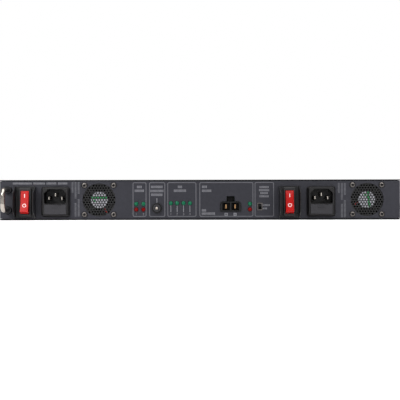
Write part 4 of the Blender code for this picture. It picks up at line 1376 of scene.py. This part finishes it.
@dataclass
class ContactPair:
    """Two stamped contacts side by side in a low-voltage socket.

    Attributes:
        prefix: start of the pieces' names.
        middle: the point between the two contacts from which their tips stand proud.
        inward: +1 where the contacts run towards +Y, -1 towards -Y.
        spread: distance between the contacts.
        length: length that shows.
        proud: how far a contact stands before the place named for its tip.
        half_width: half of a contact's width.
        half_height: half of its height.
        coining: radius of its edges.
    """

    prefix: str
    middle: Vector
    inward: int
    spread: float = 10.0 * MM
    length: float = 7.0 * MM
    proud: float = 1.2 * MM
    half_width: float = 1.05 * MM
    half_height: float = 2.5 * MM
    coining: float = 0.5 * MM

    def build(self) -> None:
        """Build and dress both contacts, each with a coined tip."""
        for row, side in enumerate((-1, 1), start=1):
            tip = self.middle + Vector((side * self.spread / 2, 0, 0))
            near = tip.y - self.inward * self.proud
            far = tip.y + self.inward * self.length
            half = Vector((self.half_width, 0, self.half_height))
            low = Vector((tip.x, min(near, far), tip.z)) - half
            high = Vector((tip.x, max(near, far), tip.z)) + half
            contact = block(f"{self.prefix}_contact_{row}", low, high)
            soften(contact, self.coining, 3)
            commit(contact, Finishes.BRASS)


@dataclass
class DcConnectors:
    """The input header on the connector panel and the output block at the far end.

    Attributes:
        setback: how far behind a mouth a pair is placed; its tips stand a little before that.
        rise: height of the input's contacts over its underside.
    """

    setback: float = 4.8 * MM
    rise: float = 5.3 * MM

    def build(self) -> None:
        """Build and dress both mouldings and all their contacts."""
        for node, finish in (("dc_input_connector", Finishes.NYLON_DARK),
                             ("dc_output_block", Finishes.NYLON)):
            moulding = worked_copy(node, f"{node}_moulded")
            soften(moulding, 0.2 * MM)
            commit(moulding, finish, stands_for=[node])
        header = Space.of("dc_input_connector")
        middle = Vector((header.centre.x, header.low.y + self.setback, header.low.z + self.rise))
        ContactPair("dc_input", middle, 1).build()
        ports = Space.of("dc_output_block")
        for port in range(PORTS):
            x = ports.centre.x + (port - 1.5) * PORT_PITCH * MM
            middle = Vector((x, ports.high.y - self.setback, ports.centre.z))
            ContactPair(f"dc_output_{port + 1}", middle, -1).build()


# ------------------------------------------------------------------ printing

@dataclass(frozen=True)
class Row:
    """One row of printed bars that stands for a heading.

    Attributes:
        x: its middle, in millimetres.
        z: its height on the panel, in millimetres.
        words: width of each word, in millimetres.
        height: height of the bars, in millimetres.
    """

    x: float
    z: float
    words: tuple[float, ...]
    height: float = 2.7


@dataclass
class PanelPrint:
    """What is screen printed on the panel: frames, leader lines, figures and rows of bars.

    Attributes:
        proud: thickness of the ink over the panel.
        sunk: how far the ink reaches into the coating.
        line: width of a frame's line.
        low: lower edge of the frames.
        high: upper edge of the frames.
        corner: outer and inner corner radius of a frame.
        frames: left and right side of each frame, in millimetres.
        headings: the rows of bars.
        columns: the turned rows, each with its X and the spans it fills, in millimetres.
        bar_pitch: about how far apart a word's bars stand, in millimetres.
        bar_share: how much of that a bar fills.
        gap: space between two words, in millimetres.
        column_half: half of a column's width, in millimetres.
        figure_z: height of the lamps' numbers, in millimetres.
        sign_arm: half length of a plus or minus.
        sign_line: half width of its line.
    """

    proud: float = 0.04 * MM
    sunk: float = 0.03 * MM
    line: float = 0.85 * MM
    low: float = 3.4 * MM
    high: float = 41.3 * MM
    corner: tuple[float, float] = (1.8 * MM, 1.2 * MM)
    bar_pitch: float = 1.32
    bar_share: float = 0.58
    gap: float = 1.7
    column_half: float = 1.05
    figure_z: float = 6.2
    sign_arm: float = 1.15 * MM
    sign_line: float = 0.28 * MM
    frames: tuple[tuple[float, float], ...] = (
        (-73.9, -58.8), (-55.8, -38.2), (-35.8, -4.0), (-0.6, 58.5), (60.0, 81.2))
    headings: tuple[Row, ...] = (
        Row(-66.3, 36.2, (5.6,)), Row(-66.3, 32.0, (10.6,)),
        Row(-47.2, 36.2, (13.0,)), Row(-47.0, 31.8, (14.6,)), Row(-47.2, 27.6, (12.6,)),
        Row(-21.7, 36.2, (5.0,)), Row(-21.7, 32.0, (13.8,)),
        Row(5.2, 36.2, (5.8,)), Row(7.5, 31.9, (10.6,)),
        Row(4.6, 10.3, (5.0,)), Row(9.4, 6.8, (14.8,)),
        Row(70.6, 35.8, (10.3,), 2.3), Row(70.6, 32.4, (11.6,), 2.3),
        Row(70.6, 29.2, (8.6,), 2.3), Row(70.6, 25.7, (10.3,), 2.3),
        Row(73.4, 16.0, (7.2,), 1.9), Row(71.8, 12.3, (4.2,), 1.9),
        Row(-175.2, 40.2, (20.8, 12.7, 11.0, 10.4), 2.3))
    columns: tuple[tuple[float, tuple[tuple[float, float], ...]], ...] = (
        (-139.9, ((30.4, 42.2),)),
        (-136.6, ((23.8, 42.2), (4.1, 19.2))),
        (-133.2, ((29.0, 42.2), (4.1, 23.4))),
        (152.4, ((29.2, 40.6),)),
        (155.7, ((22.1, 40.6), (2.6, 17.7))),
        (159.0, ((27.1, 40.6), (2.6, 21.7))))

    @property
    def face(self) -> float:
        """The Y of the panel's outer face."""
        return Space.of("connector_panel").low.y

    def build(self) -> None:
        """Build and dress everything that is printed."""
        self.build_frames()
        self.build_leaders()
        self.build_figures()
        self.build_rows()
        self.build_columns()

    def bar(self, low_x: float, low_z: float, high_x: float, high_z: float) -> Piece:
        """A bar of ink between two corners on the panel, in metres."""
        return block("ink_bar", (low_x, self.face - self.proud, low_z),
                     (high_x, self.face + self.sunk, high_z))

    def build_frames(self) -> None:
        """The rounded frames round each group of controls."""
        for number, (left, right) in enumerate(self.frames, start=1):
            outline = self.bar(left * MM, self.low, right * MM, self.high)
            inner = block("frame_inside",
                          (left * MM + self.line, self.face - MM, self.low + self.line),
                          (right * MM - self.line, self.face + MM, self.high - self.line))
            for piece, radius in zip((outline, inner), self.corner):
                with editing(piece, "EDGE"):
                    pick_edges(piece, lambda middle, way: abs(way.y) > 0.9)
                    bpy.ops.mesh.bevel(offset=radius, segments=5)
            carve(outline, [inner])
            outline.name = f"printed_frame_{number}"
            commit(outline, Finishes.INK)

    def build_leaders(self) -> None:
        """Lines from the output lamps to their numbers, and one above the button."""
        bars = []
        for number in range(1, PORTS + 1):
            x = Space.of(f"output_{number}_led").centre.x
            bars.append(self.bar(x - 0.4 * MM, 8.5 * MM, x + 0.4 * MM, 15.8 * MM))
        button = Space.of("button_bushing").centre.x
        bars.append(self.bar(button - 0.45 * MM, 18.6 * MM, button + 0.45 * MM, 23.9 * MM))
        source = Space.of("source_switch_frame").centre
        for z in (16.0 * MM, 12.3 * MM):
            bars.append(self.bar(source.x + 2.9 * MM, z - 0.3 * MM,
                                 source.x + 3.8 * MM, z + 0.3 * MM))
        commit(join("printed_leaders", bars), Finishes.INK_LIGHT)

    def build_figures(self) -> None:
        """The numbers of the lamps and of the output ports, and the input's plus and minus."""
        places = [("1", "ac_1_red_led"), ("2", "ac_2_red_led")]
        places += [(str(number), f"output_{number}_led") for number in range(1, PORTS + 1)]
        for text, node in places:
            place = Vector((Space.of(node).centre.x, self.face, self.figure_z * MM))
            sign = figure(f"printed_{node}_{text}", text, place, 2.5 * MM, 0.08 * MM)
            commit(sign, Finishes.INK_LIGHT)
        far = Space.of("output_panel").high.y
        ports = Space.of("dc_output_block")
        for number in range(1, PORTS + 1):
            place = Vector((ports.centre.x + (2.5 - number) * PORT_PITCH * MM, far,
                            ports.high.z + 4 * MM))
            sign = figure(f"printed_port_{number}", str(number), place, 3.2 * MM, 0.08 * MM,
                          math.pi)
            commit(sign, Finishes.INK_LIGHT)
        header = Space.of("dc_input_connector").centre.x
        for label, side in (("plus", -1), ("minus", 1)):
            x = header + side * 4.9 * MM
            z = 6.0 * MM
            patch = self.bar(x - 1.75 * MM, z - 1.6 * MM, x + 1.75 * MM, z + 1.6 * MM)
            patch.name = f"printed_{label}"
            arm = self.sign_arm
            thin = self.sign_line
            tool = block("sign_bar", (x - arm, self.face - MM, z - thin),
                         (x + arm, self.face + MM, z + thin))
            if label == "plus":
                carve(tool, [block("sign_bar", (x - thin, self.face - 0.9 * MM, z - arm),
                                   (x + thin, self.face + 0.9 * MM, z + arm))], "UNION")
            carve(patch, [tool])
            commit(patch, Finishes.INK_LIGHT)

    def word(self, middle: float, width: float,
             place: Callable[[float, float], Piece]) -> list[Piece]:
        """Bars side by side that fill a word's width.

        Args:
            middle: the word's middle, in millimetres along the row.
            width: its width in millimetres.
            place: makes a bar between two distances along the row, in metres.

        Returns:
            The bars.
        """
        count = max(2, round(width / self.bar_pitch))
        pitch = width / count
        bars = []
        for i in range(count):
            start = middle - width / 2 + pitch * i
            bars.append(place(start * MM, (start + pitch * self.bar_share) * MM))
        return bars

    def build_rows(self) -> None:
        """The headings, each a row of bars."""
        for number, row in enumerate(self.headings, start=1):
            span = sum(row.words) + self.gap * (len(row.words) - 1)
            start = row.x - span / 2
            low = (row.z - row.height / 2) * MM
            high = (row.z + row.height / 2) * MM
            bars = []
            for width in row.words:
                bars += self.word(start + width / 2, width,
                                  lambda a, b: self.bar(a, low, b, high))
                start += width + self.gap
            commit(join(f"printed_row_{number}", bars), Finishes.INK_LIGHT)

    def build_columns(self) -> None:
        """The turned columns beside the inlets."""
        for number, (x, spans) in enumerate(self.columns, start=1):
            left = (x - self.column_half) * MM
            right = (x + self.column_half) * MM
            bars = []
            for low, high in spans:
                bars += self.word((low + high) / 2, high - low,
                                  lambda a, b: self.bar(left, a, right, b))
            commit(join(f"printed_column_{number}", bars), Finishes.INK)


# ------------------------------------------------------------------ inside

@dataclass
class InnerParts:
    """What shows through slots and holes: board, sounder and supply modules."""

    def build(self) -> None:
        """Dress the parts whose shape is right, and round the modules' castings."""
        dress("control_board", Finishes.LAMINATE)
        dress("buzzer", Finishes.NYLON_DARK)
        for number in (1, 2):
            node = f"supply_module_{number}"
            module = worked_copy(node, f"supply_casting_{number}")
            soften(module, 0.5 * MM)
            commit(module, Finishes.ALUMINIUM, stands_for=[node])


# ------------------------------------------------------------------ studio

@dataclass(frozen=True)
class Softbox:
    """A rectangular area light aimed at a point.

    Attributes:
        name: the light's name.
        place: where it stands.
        target: what it is aimed at.
        size: its width and height.
        power: its power in watts.
        spread: width of its beam in degrees, less than 180 where a grid stands before it.
    """

    name: str
    place: tuple[float, float, float]
    target: tuple[float, float, float]
    size: tuple[float, float]
    power: float
    spread: float = 180

    def build(self) -> None:
        """Put the light in the scene."""
        data = bpy.data.lights.new(self.name, "AREA")
        data.shape = "RECTANGLE"
        data.size, data.size_y = self.size
        data.energy = self.power
        data.spread = math.radians(self.spread)
        light = bpy.data.objects.new(self.name, data)
        light.location = self.place
        aim = Vector(self.target) - Vector(self.place)
        light.rotation_euler = aim.to_track_quat("-Z", "Y").to_euler()
        bpy.context.scene.collection.objects.link(light)


@dataclass
class Studio:
    """Camera, soft lights, pale floor and white surroundings.

    Attributes:
        distance: from the panel's face to the camera.
        half_width: half of what the camera sees at the panel's face.
        height: height of the camera over the floor.
        roll: the camera's lean, in degrees.
        ambient: strength of the light from all round.
        floor_reach: how far the floor goes each way.
        floor_gap: how far it lies under the unit, so that their faces don't meet.
        lights: the softboxes.
    """

    distance: float = 1.0
    half_width: float = 0.2195
    roll: float = 0.115
    height: float = 21.75 * MM
    ambient: float = 0.25
    floor_reach: float = 3.0
    floor_gap: float = 0.00005
    lights: tuple[Softbox, ...] = (
        Softbox("left_softbox", (-0.50, -0.60, 0.35), (-0.26, -0.12, 0.02), (0.3, 0.3), 0.36, 55),
        Softbox("right_softbox", (0.52, -0.62, 0.35), (0.27, -0.12, 0.02), (0.3, 0.3), 0.22, 55),
        Softbox("top_softbox", (0.0, -0.45, 1.3), (0.0, -0.45, 0.0), (1.8, 1.8), 25.0),
        Softbox("front_strip", (0.0, -2.2, 0.45), (0.0, -0.12, 0.02), (1.7, 0.34), 4.0))

    def build(self) -> None:
        """Set up camera, lights, floor and surroundings."""
        self.build_camera()
        self.build_world()
        self.build_floor()
        for light in self.lights:
            light.build()

    def build_camera(self) -> None:
        """The camera, level with the middle of the panel."""
        panel = Space.of("connector_panel")
        lens = bpy.data.cameras.new("camera")
        lens.lens = lens.sensor_width / 2 / (self.half_width / self.distance)
        lens.clip_start = 0.05
        lens.clip_end = 50
        camera = bpy.data.objects.new("camera", lens)
        camera.location = (0, panel.low.y - self.distance, self.height)
        camera.rotation_euler = (math.pi / 2, math.radians(self.roll), 0)
        bpy.context.scene.collection.objects.link(camera)
        bpy.context.scene.camera = camera

    def build_world(self) -> None:
        """White surroundings, dimmer as a light than they look."""
        scene = bpy.context.scene
        scene.view_settings.view_transform = "Standard"
        world = bpy.data.worlds.new("surroundings")
        scene.world = world
        world.use_nodes = True
        tree = world.node_tree
        shade = tree.nodes["Background"]
        shade.inputs["Color"].default_value = linear("#ffffff")
        path = add_node(tree, "LightPath")
        strength = add_node(tree, "MapRange", {"Value": path.outputs["Is Camera Ray"],
                                               "To Min": self.ambient, "To Max": 1.0})
        tree.links.new(strength.outputs["Result"], shade.inputs["Strength"])

    def build_floor(self) -> None:
        """The pale floor, a sheet of paper with rolled edges."""
        reach = self.floor_reach
        floor = block("studio_floor", (-reach, -reach, -0.012), (reach, reach, -self.floor_gap))
        soften(floor, 0.004, 3)
        floor.data.materials.append(Finishes.FLOOR.material())


# ------------------------------------------------------------------ the whole unit


def main() -> None:
    """Build the studio and every sub-assembly in order."""
    logging.basicConfig(level=logging.INFO, format="%(name)s: %(message)s")
    parts = [
        Studio(),
        Chassis(),
        PullHandle(),
        SwitchStation(1),
        SwitchStation(2),
        MainsInlet(1),
        MainsInlet(2),
        FanUnit(1, stripe_turn=2.0, stripe_shift=(0.0, 2.4 * MM),
                dab_shift=(-5.2 * MM, -1.2 * MM),
                wire=((5.4 * MM, -8.3 * MM), (10.6 * MM, -16.3 * MM))),
        FanUnit(2, stripe_turn=96.0, stripe_shift=(2.2 * MM, 0.0),
                dab_shift=(-1.6 * MM, 5.2 * MM),
                wire=((-9.6 * MM, -3.4 * MM), (-17.0 * MM, -9.6 * MM))),
        StatusLamps(),
        MuteButton(),
        SourceSwitch(),
        DcConnectors(),
        PanelPrint(),
        InnerParts(),
    ]
    for part in parts:
        part.build()
        LOG.info("%s built", type(part).__name__)


if __name__ == "__main__":
    main()
    clear_selection()
